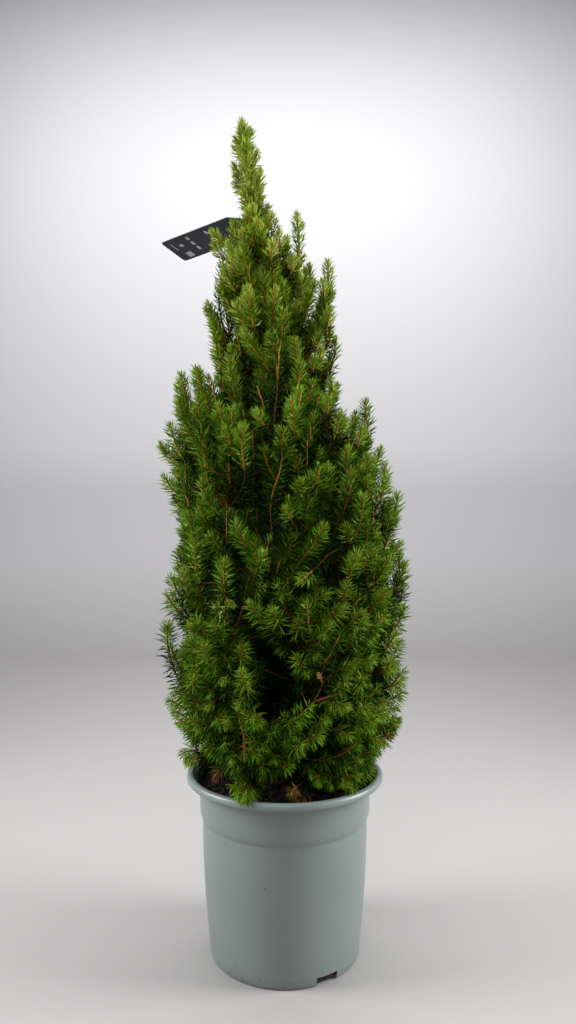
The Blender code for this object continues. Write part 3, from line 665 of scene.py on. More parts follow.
def skin_samples(mass, count):
    """Seeded points on a mass's skin, mostly where it faces out of the crown."""
    corners, triangles = skins[mass]
    a, b, c = (corners[triangles[:, corner]] for corner in range(3))
    normals = np.cross(b - a, c - a)
    areas = 0.5 * np.linalg.norm(normals, axis=1)
    outward = ((a + b + c) / 3 - trunk_at((a + b + c)[:, 2] / 3)) * (1, 1, 0)
    facing = (unit(normals) * unit(outward + (0, 0, 0.02))).sum(axis=1)
    weights = areas * np.clip(facing + 0.30, FACING_LEAST, 1.0)
    chosen = chance.choice(len(areas), size=count, p=weights / weights.sum())
    u, v = chance.random(count), chance.random(count)
    flip = u + v > 1
    u[flip], v[flip] = 1 - u[flip], 1 - v[flip]
    return a[chosen] + (b - a)[chosen] * u[:, None] + (c - a)[chosen] * v[:, None]


def spread_out(points, taken):
    """Pick points that keep their distance from each other and from those taken before."""
    picked = []
    for point in points:
        spacing = at_height(SPACINGS, point[2])
        near = np.array(taken[-400:]) if taken else np.full((1, 3), 9.0)
        if np.linalg.norm(near - point, axis=1).min() > spacing:
            picked.append(point)
            taken.append(point)
    return picked


def grow_long_shoot(tip, mass):
    way = growing_way(tip)
    length = chance.uniform(at_height(SHORTEST, tip[2]), at_height(LONGEST, tip[2]))
    joint = joint_for(tip - way * length, way)
    reach = np.linalg.norm(tip - joint)
    whole = curve_through(joint, tip - way * 0.55 * reach, tip, 24)
    whole_length = np.linalg.norm(np.diff(whole, axis=0), axis=1).sum()
    needled = min(length / whole_length, 0.85)
    path = part_of(whole, 1 - needled, 1, SHOOT_POINTS)
    if hides_something(path):
        return 0
    add_shoot(path, LONG, mass)
    add_shoot(part_of(whole, 0, 1 - needled + 0.02, SHOOT_POINTS), OLD, mass)
    add_side_shoots(path, mass)
    return 1


def grow_inner_shoot(tip, mass):
    tip[2] = max(tip[2], LOWEST_TIP)
    way = growing_way(tip)
    base = tip - way * chance.uniform(*INNER_LENGTHS)
    path = curve_through(base, (base + tip) / 2, tip, SHOOT_POINTS)
    if not hides_something(path):
        add_shoot(path, INNER, mass)
        add_twig(base, way, mass)


long_count, taken_tips = 0, [path[-1] for path in named_paths]
for mass in mass_names:
    samples = skin_samples(mass, CANDIDATES)
    middle = (spines[mass][0] + spines[mass][1]) / 2
    insets = chance.uniform(*INSETS, CANDIDATES)
    samples = samples + unit(middle - samples) * insets[:, None]
    samples[:, 2] = np.maximum(samples[:, 2], LOWEST_TIP)
    tips = spread_out(samples, taken_tips)
    for tip in tips:
        long_count += grow_long_shoot(tip, mass)

for mass, spine in spine_curves.items():
    add_side_shoots(spine, mass, 1.3, 1.0, INNER)
taken = KDTree(len(shoot_paths) * (SHOOT_POINTS - 1))
for number, point in enumerate(np.concatenate([path[1:] for path in shoot_paths])):
    taken.insert(point, number)
taken.balance()
inner_tips = []
for number in range(INNER_TRIES):
    foot = trunk_at(chance.uniform(*INNER_HEIGHTS))
    turn, reach = chance.uniform(0, math.tau), INNER_REACH * math.sqrt(chance.random())
    way = np.array((math.cos(turn), math.sin(turn), 0))
    point = foot + way * reach
    covered = crown_skin.ray_cast(Vector(point), Vector(way))[3]
    if covered is None or covered < INNER_COVER or taken.find(point)[2] < INNER_SPACING:
        continue
    if inner_tips and np.linalg.norm(np.array(inner_tips) - point, axis=1).min() < INNER_SPACING:
        continue
    inner_tips.append(point)
    grow_inner_shoot(point, mass_names[int(np.linalg.norm(mass_middles - point, axis=1).argmin())])

LEADER_START = 0.872
LEADER_SIDES, LEADER_SIDE_COUNT, LEADER_SIDE_LENGTH = (0.790, 0.958), 46, 0.026
LEADER_SIDE_LIFT, LEADER_FRONT = math.radians(66), -0.35
leader_heights = np.linspace(LEADER_START, levels[-1] + 0.004, 12)
leader_line = trunk_at(leader_heights)
leader_line[-1, 2] = leader_heights[-1]
for first, last in ((0, 6), (5, 11)):
    add_shoot(part_of(leader_line[first:last + 1], 0, 1, SHOOT_POINTS), NAMED, "leader_top")
for number, height in enumerate(np.linspace(*LEADER_SIDES, LEADER_SIDE_COUNT)):
    turn = number * GOLDEN_TURN
    outward = np.array((math.cos(turn), math.sin(turn), 0))
    if outward[1] > LEADER_FRONT:
        start = trunk_at(height)
        length = chance.uniform(0.5, 1.0) * min(LEADER_SIDE_LENGTH, 0.8 * (levels[-1] - height))
        way = unit(outward * math.cos(LEADER_SIDE_LIFT) + np.array((0, 0, math.sin(LEADER_SIDE_LIFT))))
        end = start + way * length + np.array((0, 0, 0.15 * length))
        add_shoot(curve_through(start, start + way * 0.5 * length, end, SHOOT_POINTS), LONG, "leader_top")
print("inner shoots:", len(inner_tips))
print("long shoots:", long_count, "all shoots and twigs:", len(shoot_paths))

# %% [markdown]
# ## Needles in sprays
# Needles stand round each shoot in a spiral and point forward, more so towards its end, where they
# close into a blunt tuft. Low on the plant they are longer and hang from the underside of their
# shoot. Each spray takes its greens from its place. The yellow-green at the top and the paler needles
# near the tips are partly young growth and partly painted light; paler needles high up and on the
# left and right are painted light, and deeper greens below, inside and near the rim painted shade.
# The needles of a tier are one piece, which stands for its masses.

# %% Needles
# each family's five greens run from dark to light; a needle's place among them is painted light and shade,
# with some random spread
GREENS = (
    ("top", ((0.012, 0.030, 0.001), (0.040, 0.081, 0.001), (0.090, 0.158, 0.002),
             (0.162, 0.242, 0.009), (0.280, 0.352, 0.050))),
    ("low", ((0.004, 0.015, 0.001), (0.014, 0.044, 0.001), (0.038, 0.102, 0.002),
             (0.086, 0.180, 0.006), (0.160, 0.268, 0.020))),
)
DRY_BROWNS = ((0.085, 0.037, 0.011), (0.160, 0.085, 0.030), (0.330, 0.205, 0.110))
DRY_SHARE = 0.88
# above this height the yellower top family: partly the young growth's colour, partly painted light
TOP_HEIGHT = 0.72
CORE_RADIUS, CORE_HEIGHT, CORE_FADE, CORE_SHADE = 0.100, 0.43, 0.14, 0.60   # painted shade: the dark foot of the crown
# painted shade: needles low down near the rim are darker
RIM_HEIGHT, RIM_SHADE = 0.27, 0.10
SIDE_LIGHT, SIDE_REACH = 0.16, 0.12     # painted light: the plant's left and right are paler
NEEDLES_PER_METRE = np.array((2450, 1850, 1750, 1050, 1000))
# painted light and shade by rank: shoots on the outline lighter, inner shoots and old twigs darker
RANK_LIGHT = np.array((0.72, 0.57, 0.48, 0.23, 0.18))
NEEDLE_LIGHTS = 0.14                # how much needles of one spray differ
SMALL_SHOOT = 0.016                 # shorter ones bear shorter needles
TIP_CROWDING = 0.76                 # under 1, needles stand closer towards a shoot's tip
OLD_BARE = 0.20                     # share of an old twig that has lost its needles
PALE_PART = 0.35                    # the pale bud's scales sit on this share of its twig
NEEDLE_LENGTHS = (0.0175, 0.0138)   # at the lowest and the highest place
NEEDLE_WIDTHS = (0.00108, 0.00132)
NEEDLE_CURVES = (0.00035, 0.05)     # a least bend, and a share of the length
HANG_HEIGHTS, HANG = (0.22, 0.32, 0.46), (1.0, 0.75, 0.0)
PART_FROM, PART_MOST, PART_TURN = 0.25, 0.52, 0.95      # needles part along the outer side

shoot_paths, shoot_ranks = np.array(shoot_paths), np.array(shoot_ranks)
shoot_masses = np.array(shoot_masses)
lengths = np.linalg.norm(np.diff(shoot_paths, axis=1), axis=2).sum(axis=1)
per_metre = NEEDLES_PER_METRE[shoot_ranks]
for rank, word in enumerate(("named", "long", "side", "inner", "old")):
    print(word, round(float(lengths[shoot_ranks == rank].sum()), 1), "m")
counts = (lengths * per_metre).astype(int) + 6
owner = np.repeat(np.arange(len(counts)), counts)
order = np.concatenate([np.arange(count) for count in counts])
along = ((order + 0.5) / counts[owner]) ** TIP_CROWDING
old = shoot_ranks[owner] == OLD
along[old] = OLD_BARE + (1 - OLD_BARE) * along[old]
pale = owner == pale_shoot
along[pale] = 1 - PALE_PART * (1 - along[pale])

place = along * (SHOOT_POINTS - 1)
index = np.minimum(place.astype(int), SHOOT_POINTS - 2)
rest = (place - index)[:, None]
roots = shoot_paths[owner, index] * (1 - rest) + shoot_paths[owner, index + 1] * rest
forward = unit(shoot_paths[owner, index + 1] - shoot_paths[owner, index])
across, beside = cross_frame(forward)
turn = order * GOLDEN_TURN + owner * 1.7
side = across * np.cos(turn)[:, None] + beside * np.sin(turn)[:, None]
hang = np.interp(roots[:, 2], HANG_HEIGHTS, HANG)
flipped = (side[:, 2] > 0.25) & (chance.random(len(owner)) < 0.42 * hang)
side[flipped, 2] *= -1
outward = unit((roots - trunk_at(roots[:, 2])) * (1, 1, 0))
facing = (side * outward).sum(axis=1)
part_share = PART_MOST * chance.random(len(counts))
parted = (facing > PART_FROM) & (chance.random(len(owner)) < part_share[owner])
side = np.where(parted[:, None], unit(side - outward * facing[:, None] * PART_TURN), side)

from_end = (1 - along) * lengths[owner]
high = np.clip((roots[:, 2] - HEIGHTS[0]) / (HEIGHTS[-1] - HEIGHTS[0]), 0, 1)
openness = np.where(old, 1.0, np.clip(from_end / 0.013, 0, 1))
tuft_spread = chance.uniform(6, 56, len(owner))
spread = np.radians(tuft_spread * (1 - openness) + (61 - 15 * high) * openness)
spread = spread + chance.normal(0, 0.14, len(owner))
ways = unit(forward * np.cos(spread)[:, None] + side * np.sin(spread)[:, None]
            + chance.normal(0, 0.07, roots.shape))
needle_lengths = NEEDLE_LENGTHS[0] + (NEEDLE_LENGTHS[1] - NEEDLE_LENGTHS[0]) * high
needle_lengths = needle_lengths * (0.55 + 0.45 * openness) * chance.uniform(0.82, 1.12, len(owner))
needle_lengths = needle_lengths * np.clip(lengths[owner] / SMALL_SHOOT, 0.4, 1) * np.where(pale, 0.5, 1)
sag = np.array((0, 0, -0.55)) * (hang * chance.uniform(0.5, 1.0, len(owner)))[:, None]
ends = roots + unit(ways + sag) * needle_lengths[:, None]
bulge = unit(side * (1 - hang)[:, None] + np.array((0, 0, 1.0)) * hang[:, None] + ways * 0.01)
bends = bulge * (NEEDLE_CURVES[0] + NEEDLE_CURVES[1] * needle_lengths)[:, None]
widths = (NEEDLE_WIDTHS[0] + (NEEDLE_WIDTHS[1] - NEEDLE_WIDTHS[0]) * high)
widths = widths * chance.uniform(0.85, 1.15, len(owner))

# A needle's light is painted light and shade: paler near a shoot's tip (partly young growth), high up and
# on the plant's left and right, darker far from the tip, in the crown's dark foot and near the rim.
light = RANK_LIGHT[shoot_ranks] + chance.normal(0, 0.11, len(counts))
light = light[owner] + 0.28 * np.clip(1 - from_end / 0.022, 0, 1) * (1 - old)
light = light - 0.13 * np.clip(from_end / 0.05, 0, 1) + 0.3 * np.clip(roots[:, 2] - 0.84, 0, 0.3)
light = light + 0.12 * (high - 0.5) + chance.normal(0, NEEDLE_LIGHTS, len(owner))
from_trunk = roots - trunk_at(roots[:, 2])
from_axis = np.linalg.norm(from_trunk[:, :2], axis=1)
light = light + SIDE_LIGHT * (np.clip(np.abs(from_trunk[:, 0]) / SIDE_REACH, 0, 1) - 0.45)
core = np.clip(1 - from_axis / CORE_RADIUS, 0, 1) * np.clip((CORE_HEIGHT - roots[:, 2]) / CORE_FADE, 0, 1)
light = light - CORE_SHADE * core - RIM_SHADE * (roots[:, 2] < RIM_HEIGHT)
shade = np.clip(light * 5, 0, 4.999).astype(int)
top = (roots[:, 2] + chance.normal(0, 0.06, len(owner))) > TOP_HEIGHT
green = shade + np.where(top, 0, 5)
dry = np.isin(owner, dry_shoots) & (chance.random(len(owner)) < DRY_SHARE)
green[dry] = 10 + (chance.random(dry.sum()) < 0.4)
green[pale] = 12

needle_greens = []
for family, colours in GREENS + (("dry", DRY_BROWNS),):
    for number, colour in enumerate(colours):
        needle_greens.append(plain_material(f"needle_{family}_{number + 1}", colour, 0.60, 0.05))
shoot_tiers = np.array([mass.split("_")[0] for mass in shoot_masses])
needle_total = 0
for tier in TIERS:
    some = np.flatnonzero(shoot_tiers[owner] == tier)
    corners, faces = spindles(roots[some], ends[some], widths[some], bends[some])
    of_face = np.repeat(green[some], len(NEEDLE_FACES)).astype(np.int32)
    piece = show_piece(f"needles_{tier}", corners, faces, needle_greens, of_face, False)
    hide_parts(*[name for name in mass_names if name.startswith(tier + "_")])
    needle_total += len(some)
    print(piece.name, len(some), "needles,", len(faces), "triangles")
print("needles:", needle_total, "shoots:", round(float(lengths.sum()), 1), "m")

# %% [markdown]
# ## Stems and twigs
# A shoot's own stem is fresh orange-brown bark; low in the crown it takes a darker copy of that bark,
# as painted shade. The bare twig that joins it to its mass's spine is older and darker, and so is the
# spine itself, which leaves the trunk and rises inside the mass. The twigs' dark colour is partly
# painted shade for the inside of the crown.

# %% Stems and twigs
STEM_SIZES = np.array(((0.00130, 0.00085), (0.00120, 0.00075), (0.00070, 0.00050),
                       (0.00090, 0.00060), (0.00110, 0.00100)))
STEM_CHANGE = 0.56      # painted shade: below this height stems take a darker copy of the fresh bark
fresh_bark = plain_material("fresh_bark", (0.310, 0.135, 0.016), 0.7, 0.06)
# a darker copy of the fresh bark: painted shade on stems low in the crown
shaded_bark = plain_material("shaded_bark", (0.205, 0.088, 0.011), 0.7, 0.06)
# older bark, darkened further as painted shade for the inside of the crown
twig_bark = plain_material("twig_bark", (0.080, 0.038, 0.010), 0.8, 0.04)
for name, ranks, kept, sides, barks in (
        ("stems_long", (NAMED, LONG), 1, 4, (fresh_bark, shaded_bark)),
        ("stems_side", (SIDE, INNER), 2, 3, (fresh_bark, shaded_bark)),
        ("twigs", (OLD,), 1, 3, (twig_bark,))):
    some = np.isin(shoot_ranks, ranks)
    points = shoot_paths[some][:, ::-kept][:, ::-1]
    run = np.linspace(0, 1, points.shape[1])[None]
    sizes = STEM_SIZES[shoot_ranks[some]]
    corners, faces = tubes(points, sizes[:, :1] + (sizes[:, 1:] - sizes[:, :1]) * run, sides)
    low = points[:, -1, 2] < STEM_CHANGE
    of_face = low[faces[:, 0] // (points.shape[1] * sides)] * (len(barks) - 1)
    show_piece(name, corners, faces, barks, of_face.astype(np.int32))
    print(name, len(faces), "triangles")

# %% [markdown]
# ## Trunk and boughs
# A limb is a path curve whose points lie on the limb's line, with the limb's radius at each point.
# Made into a mesh, it gets its bark by two Displace modifiers: broad ridges and small flakes. The
# flakes are real relief, so they also show on the edge of the limb.

# %% Bark
LIMB_STEP = 0.0035
RIDGE_SIZE, RIDGE_DEPTH = 0.011, 0.0012
FLAKE_SIZE, FLAKE_DEPTH = 0.0035, 0.0011


def bark_material():
    material, tree = new_material("bark")
    place = place_of(tree)
    stretched = add_node(tree, "ShaderNodeMapping", inputs={"Vector": place, "Scale": (1, 1, 0.35)})
    flakes = noise(tree, stretched, 260.0, 6.0)
    patches = noise(tree, place, 40.0, 3.0)
    colour = ramp(tree, flakes, ((0.30, (0.018, 0.009, 0.005)), (0.52, (0.055, 0.027, 0.014)),
                                 (0.75, (0.130, 0.074, 0.043))))
    colour = mixed(tree, patches * 0.5, colour, (0.055, 0.026, 0.013))
    finish_material(tree, {"Base Color": colour, "Roughness": 0.85, "Specular IOR Level": 0.08,
                           "Normal": bump(tree, flakes, 0.6, 0.001)})
    return material


def cloud_texture(name, size):
    texture = bpy.data.textures.new(name, "CLOUDS")
    texture.noise_scale = size
    return texture


ridges, flakes = cloud_texture("ridges", RIDGE_SIZE), cloud_texture("flakes", FLAKE_SIZE)


def apply_modifier(piece, kind, **settings):
    """Give the active piece one modifier and apply it."""
    modifier = piece.modifiers.new(kind.lower(), kind)
    for name, value in settings.items():
        setattr(modifier, name, value)
    bpy.context.view_layer.objects.active = piece
    bpy.ops.object.modifier_apply(modifier=modifier.name)


def make_limb(name, points, radii, bevel_steps):
    """A limb along points, thick as its radii, with the relief of its bark."""
    count = max(int(np.linalg.norm(np.diff(points, axis=0), axis=1).sum() / LIMB_STEP), 6)
    line = part_of(points, 0, 1, count)
    thickness = np.interp(np.linspace(0, 1, count), np.linspace(0, 1, len(radii)), radii)
    bpy.ops.object.select_all(action="DESELECT")
    bpy.ops.curve.primitive_nurbs_path_add()
    limb = bpy.context.object
    limb.name = name
    limb.data.splines.clear()
    spline = limb.data.splines.new("POLY")
    spline.points.add(count - 1)
    for point, place, radius in zip(spline.points, line, thickness):
        point.co = (*place, 1.0)
        point.radius = radius
    limb.data.dimensions = "3D"
    limb.data.bevel_depth = 1.0
    limb.data.bevel_resolution = bevel_steps
    limb.data.use_fill_caps = True
    bpy.ops.object.convert(target="MESH")
    limb = bpy.context.object
    bpy.ops.object.transform_apply(location=True, rotation=True, scale=True)
    bpy.ops.object.mode_set(mode="EDIT")
    bpy.ops.mesh.select_all(action="SELECT")
    bpy.ops.mesh.remove_doubles(threshold=0.00001)
    bpy.ops.mesh.normals_make_consistent(inside=False)
    bpy.ops.object.mode_set(mode="OBJECT")
    for texture, depth in ((ridges, RIDGE_DEPTH), (flakes, FLAKE_DEPTH)):
        share = min(1.0, float(np.mean(thickness)) / 0.006)
        apply_modifier(limb, "DISPLACE", texture=texture, texture_coords="LOCAL",
                       strength=depth * share, mid_level=0.5)
    bpy.ops.object.shade_smooth()
    return limb


def join_limbs(name, limbs, material):
    bpy.ops.object.select_all(action="DESELECT")
    for limb in limbs:
        limb.select_set(True)
    bpy.context.view_layer.objects.active = limbs[0]
    if len(limbs) > 1:
        bpy.ops.object.join()
    piece = bpy.context.view_layer.objects.active
    piece.name = name
    piece.data.materials.clear()
    piece.data.materials.append(material)
    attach(piece, "root")
    return piece


bark = bark_material()
trunk = join_limbs("trunk_bark", [make_limb("trunk_limb", ring_middles, ring_sizes, 5)], bark)
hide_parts("trunk")

BOUGH_RADII = (0.0042, 0.0023)
bough_limbs = []
for name in bough_names:
    corners = corners_of(name)
    from_axis = np.linalg.norm((corners - trunk_at(corners[:, 2]))[:, :2], axis=1)
    far = corners[from_axis > from_axis.max() - 0.004].mean(axis=0)
    near = trunk_at(corners[from_axis < from_axis.min() + 0.003][:, 2].mean())
    middle = (near + far) / 2 - (0, 0, 0.004)
    bough_limbs.append(make_limb(name + "_limb", curve_through(near, middle, far, 9), BOUGH_RADII, 2))
boughs = join_limbs("boughs_bark", bough_limbs, bark)
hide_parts(*bough_names)

SPINE_RADII = (0.0026, 0.0016, 0.0010)
spine_limbs = [make_limb(mass + "_spine", line, SPINE_RADII, 1) for mass, line in spine_curves.items()]
inner_boughs = join_limbs("inner_boughs", spine_limbs, bark)
SEEN_RADII = (0.0015, 0.0007)
seen_limbs = [make_limb(f"seen_limb_{number}", line, SEEN_RADII, 1)
              for number, line in enumerate(seen_boughs)]
join_limbs("seen_boughs", seen_limbs, plain_material("bough_bark", (0.140, 0.060, 0.013), 0.8, 0.1))
print("trunk:", len(trunk.data.polygons), "boughs:", len(boughs.data.polygons),
      "spines:", len(inner_boughs.data.polygons), "faces")

# %% [markdown]
# ## The pot
# A moulded plastic pot is a turned shape. It begins as the disc of its underside. The disc is
# extruded from ring to ring, up the outside, over the lip and down the inside, and scaled to each
# ring's radius, until it is the floor of the pot. Three notches are then cut from the foot.

# %% Pot
POT_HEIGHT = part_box("pot")[1][2]
LIP_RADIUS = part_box("pot")[1][0]
STEP_HEIGHT, BODY_RADIUS, FOOT_RADIUS = 0.158, 0.0965, 0.0868
COLLAR_RADIUS, MOUTH_RADIUS, WALL, FLOOR = 0.100, 0.1084, 0.0018, 0.003
POT_SIDES = 160
NOTCH_SIZE = (0.024, 0.027, 0.020)
FIRST_NOTCH = -57.6
SHARP_ANGLE = math.radians(35)
# the inner wall above the collar is nearly black up to this height
DARK_WALL_TOP = 0.2045
FOOT_DIRT = 5.0         # how fast the dirt on the pot gives out with height, per metre
DIRT_LEFT, DIRT_SIDES = 0.045, 22.0     # the dirt's place left of the middle, its end sideways


def pot_material():
    material, tree = new_material("pot_plastic")
    place = place_of(tree)
    clouds = noise(tree, place, 7.0, 3.0)
    grain = noise(tree, place, 900.0, 2.0)
    height = add_node(tree, "ShaderNodeSeparateXYZ", inputs={0: place}, output=2)
    patches = noise(tree, place, 21.0, 2.0)
    aside = add_node(tree, "ShaderNodeSeparateXYZ", inputs={0: place}, output=0) + DIRT_LEFT
    specks = (noise(tree, place, 300.0, 4.0, 0.7) * 0.6 + patches * 0.5 - height * FOOT_DIRT
              - aside * aside * DIRT_SIDES)
    dirt = ramp(tree, specks, ((0.500, (0, 0, 0)), (0.620, (1, 1, 1))))
    spots = ramp(tree, noise(tree, place, 210.0, 0.0), ((0.835, (0, 0, 0)), (0.865, (1, 1, 1))))
    colour = ramp(tree, clouds, ((0.30, (0.155, 0.192, 0.180)), (0.70, (0.176, 0.214, 0.202))))
    colour = mixed(tree, dirt * 0.60, colour, (0.088, 0.068, 0.044))
    colour = mixed(tree, spots * 0.5, colour, (0.050, 0.048, 0.040))
    finish_material(tree, {"Base Color": colour, "Roughness": clouds * 0.10 + 0.34,
                           "Normal": bump(tree, grain, 0.06, 0.0003)})
    return material


def dark_wall_material():
    """The inside of the wall above the peat, darkened to nearly black."""
    material, tree = new_material("pot_inner_wall")
    wall_mottle = noise(tree, place_of(tree), 90.0, 4.0)
    colour = ramp(tree, wall_mottle, ((0.35, (0.010, 0.008, 0.007)), (0.75, (0.045, 0.042, 0.036))))
    finish_material(tree, {"Base Color": colour, "Roughness": 0.9})
    return material


def turn_rings(name, rings, sides):
    """Extrude a disc from ring to ring: each ring is a radius and a height."""
    bpy.ops.object.select_all(action="DESELECT")
    radius, height = rings[0]
    bpy.ops.mesh.primitive_circle_add(vertices=sides, radius=radius, fill_type="NGON",
                                      location=(0, 0, height))
    piece = bpy.context.object
    piece.name = name
    bpy.ops.object.transform_apply(location=True, rotation=True, scale=True)
    bpy.ops.object.mode_set(mode="EDIT")
    bpy.ops.mesh.select_all(action="SELECT")
    for next_radius, next_height in rings[1:]:
        bpy.ops.mesh.extrude_region_move(
            TRANSFORM_OT_translate={"value": (0, 0, next_height - height)})
        scale = next_radius / radius
        bpy.ops.transform.resize(value=(scale, scale, 1), center_override=(0, 0, next_height))
        radius, height = next_radius, next_height
    bpy.ops.mesh.select_all(action="SELECT")
    bpy.ops.mesh.normals_make_consistent(inside=False)
    bpy.ops.object.mode_set(mode="OBJECT")
    return piece


def finish_piece(piece, material):
    """Smooth a modelled piece, dress it and let it ride on the plant."""
    bpy.ops.object.select_all(action="DESELECT")
    piece.select_set(True)
    bpy.context.view_layer.objects.active = piece
    bpy.ops.object.transform_apply(location=True, rotation=True, scale=True)
    bpy.ops.object.shade_smooth_by_angle(angle=SHARP_ANGLE)
    piece.data.materials.clear()
    piece.data.materials.append(material)
    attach(piece, "root")
    return piece


def body_radius(height):
    return BODY_RADIUS - (BODY_RADIUS - FOOT_RADIUS) * (1.0 - height / STEP_HEIGHT) ** 2


outer = [(body_radius(0) - 0.0030, 0.0), (body_radius(0) - 0.0012, 0.0004),
         (body_radius(0) - 0.0003, 0.0013)]
outer += [(body_radius(height), height) for height in np.linspace(0.003, STEP_HEIGHT, 16)]
outer += [(BODY_RADIUS + 0.0003, STEP_HEIGHT - 0.0002), (BODY_RADIUS + 0.0012, STEP_HEIGHT + 0.0018),
          (COLLAR_RADIUS - 0.0012, STEP_HEIGHT + 0.0052), (COLLAR_RADIUS - 0.0005, STEP_HEIGHT + 0.0088),
          (COLLAR_RADIUS, 0.1900),
          (COLLAR_RADIUS + 0.0008, 0.1960), (COLLAR_RADIUS + 0.0030, 0.1990),
          (LIP_RADIUS - 0.0040, 0.2012), (LIP_RADIUS - 0.0012, 0.2022), (LIP_RADIUS - 0.0002, 0.2034),
          (LIP_RADIUS, 0.2050), (LIP_RADIUS - 0.0002, 0.2078), (LIP_RADIUS - 0.0012, 0.2093),
          (LIP_RADIUS - 0.0030, POT_HEIGHT)]
inner = [(MOUTH_RADIUS + 0.0006, POT_HEIGHT), (MOUTH_RADIUS - 0.0006, POT_HEIGHT - 0.0008),
         (COLLAR_RADIUS + 0.0030, 0.2030), (COLLAR_RADIUS + 0.0004, 0.2000),
         (COLLAR_RADIUS - WALL, 0.1950)]
inner += [(body_radius(height) - WALL, height)
          for height in np.linspace(STEP_HEIGHT - 0.001, FLOOR, 8)]
pot = turn_rings("pot_shell", outer + inner, POT_SIDES)
for number in range(3):
    azimuth = math.radians(FIRST_NOTCH + 120.0 * number)
    bpy.ops.object.select_all(action="DESELECT")
    bpy.ops.mesh.primitive_cube_add(
        size=1, location=(math.cos(azimuth) * FOOT_RADIUS, math.sin(azimuth) * FOOT_RADIUS, 0),
        rotation=(0, 0, azimuth), scale=NOTCH_SIZE)
    notch = bpy.context.object
    apply_modifier(pot, "BOOLEAN", object=notch, operation="DIFFERENCE")
    bpy.data.objects.remove(notch)
finish_piece(pot, pot_material())
pot.data.materials.append(dark_wall_material())
for face in pot.data.polygons:
    inward = face.center.x * face.normal.x + face.center.y * face.normal.y < 0
    if inward and STEP_HEIGHT < face.center.z < DARK_WALL_TOP:
        face.material_index = 1
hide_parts("pot")
print("pot:", len(pot.data.polygons), "faces")

# %% [markdown]
# ## The peat
# Peat is dark and crumbly. A turned plug fills the pot, its top is roughened by a seeded noise, and
# crumbs of several sizes lie on it.

# %% Peat
CRUMBS = 1500
CRUMB_LEAST, CRUMB_MORE = 0.0010, 0.0022
PEAT_SIDES, PEAT_RINGS = 96, 22
PEAT_WAVES = 0.0012


def peat_material():
    material, tree = new_material("peat")
    place = place_of(tree)
    crumbs = noise(tree, place, 220.0, 6.0)
    colour = ramp(tree, crumbs, ((0.35, (0.004, 0.002, 0.0015)), (0.60, (0.014, 0.007, 0.005)),
                                 (0.78, (0.040, 0.021, 0.013))))
    finish_material(tree, {"Base Color": colour, "Roughness": 0.95,
                           "Normal": bump(tree, crumbs, 0.9, 0.003)})
    return material


peat = peat_material()
soil_low, soil_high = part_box("soil")
SOIL_TOP = soil_high[2]
plug_rings = [(body_radius(height) - 0.0026, height)
              for height in np.linspace(soil_low[2], STEP_HEIGHT, 8)]
plug_rings += [(COLLAR_RADIUS - 0.0030, SOIL_TOP - 0.0010)]
plug_rings += [(radius, SOIL_TOP) for radius in np.linspace(COLLAR_RADIUS - 0.0040, 0.002, PEAT_RINGS)]
plug = turn_rings("peat_plug", plug_rings, PEAT_SIDES)
for corner in plug.data.vertices:
    if corner.co.z > SOIL_TOP - 0.0005:
        corner.co.z -= PEAT_WAVES * chance.random()
finish_piece(plug, peat)
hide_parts("soil")

bpy.ops.object.select_all(action="DESELECT")
bpy.ops.mesh.primitive_ico_sphere_add(subdivisions=1, radius=1.0)
lump = bpy.context.object
lump_corners = np.array([corner.co for corner in lump.data.vertices])
lump_faces = np.array([face.vertices for face in lump.data.polygons])
bpy.data.objects.remove(lump)
distance = (COLLAR_RADIUS - 0.004) * np.sqrt(chance.random(CRUMBS))
azimuth = chance.uniform(0, math.tau, CRUMBS)
size = CRUMB_LEAST + CRUMB_MORE * chance.random(CRUMBS) ** 3
middle = np.stack((distance * np.cos(azimuth), distance * np.sin(azimuth),
                   SOIL_TOP + size * 0.2), axis=1)
shape = lump_corners[None] * chance.uniform(0.6, 1.4, (CRUMBS, len(lump_corners), 1))
shape = shape * size[:, None, None] * chance.uniform(0.6, 1.5, (CRUMBS, 1, 3))
corners = (middle[:, None] + shape).reshape(-1, 3)
faces = (np.arange(CRUMBS)[:, None, None] * len(lump_corners) + lump_faces[None]).reshape(-1, 3)
crumbs = show_piece("peat_crumbs", corners, faces, [peat], smooth=False)
print("crumbs:", CRUMBS)

# %% [markdown]
# ## The tag
# The card keeps its solid's shape, as dark coated card. Its underside is what shows from the front,
# and the print there is a few plain pale blocks. The card's own axes are read from its corners: the
# direction in which they spread most is its length, and the one in which they spread least is square
# to its faces. A line of sight through a mark's place meets the underside where the mark belongs.

# %% Tag
PRINT_THICKNESS = 0.0003
PRINT_MARKS = (
    # column and row at which it shows, length along the card and width across it
    (181.5, 245.5, 0.0050, 0.0050), (190.5, 254.0, 0.0085, 0.0100), (187.5, 238.5, 0.0035, 0.0060),
    (193.0, 243.0, 0.0035, 0.0075), (199.0, 247.5, 0.0035, 0.0070), (206.0, 232.5, 0.0035, 0.0060),
    (174.5, 247.5, 0.0012, 0.0140),
)


def card_material():
    material, tree = new_material("tag_card")
    place = place_of(tree)
    weave = noise(tree, place, 1200.0, 2.0)
    clouds = noise(tree, place, 30.0, 2.0)
    colour = ramp(tree, clouds, ((0.3, (0.024, 0.025, 0.036)), (0.7, (0.036, 0.037, 0.054))))
    finish_material(tree, {"Base Color": colour, "Roughness": clouds * 0.15 + 0.55,
                           "Specular IOR Level": 0.25, "Normal": bump(tree, weave, 0.10, 0.0002)})
    return material


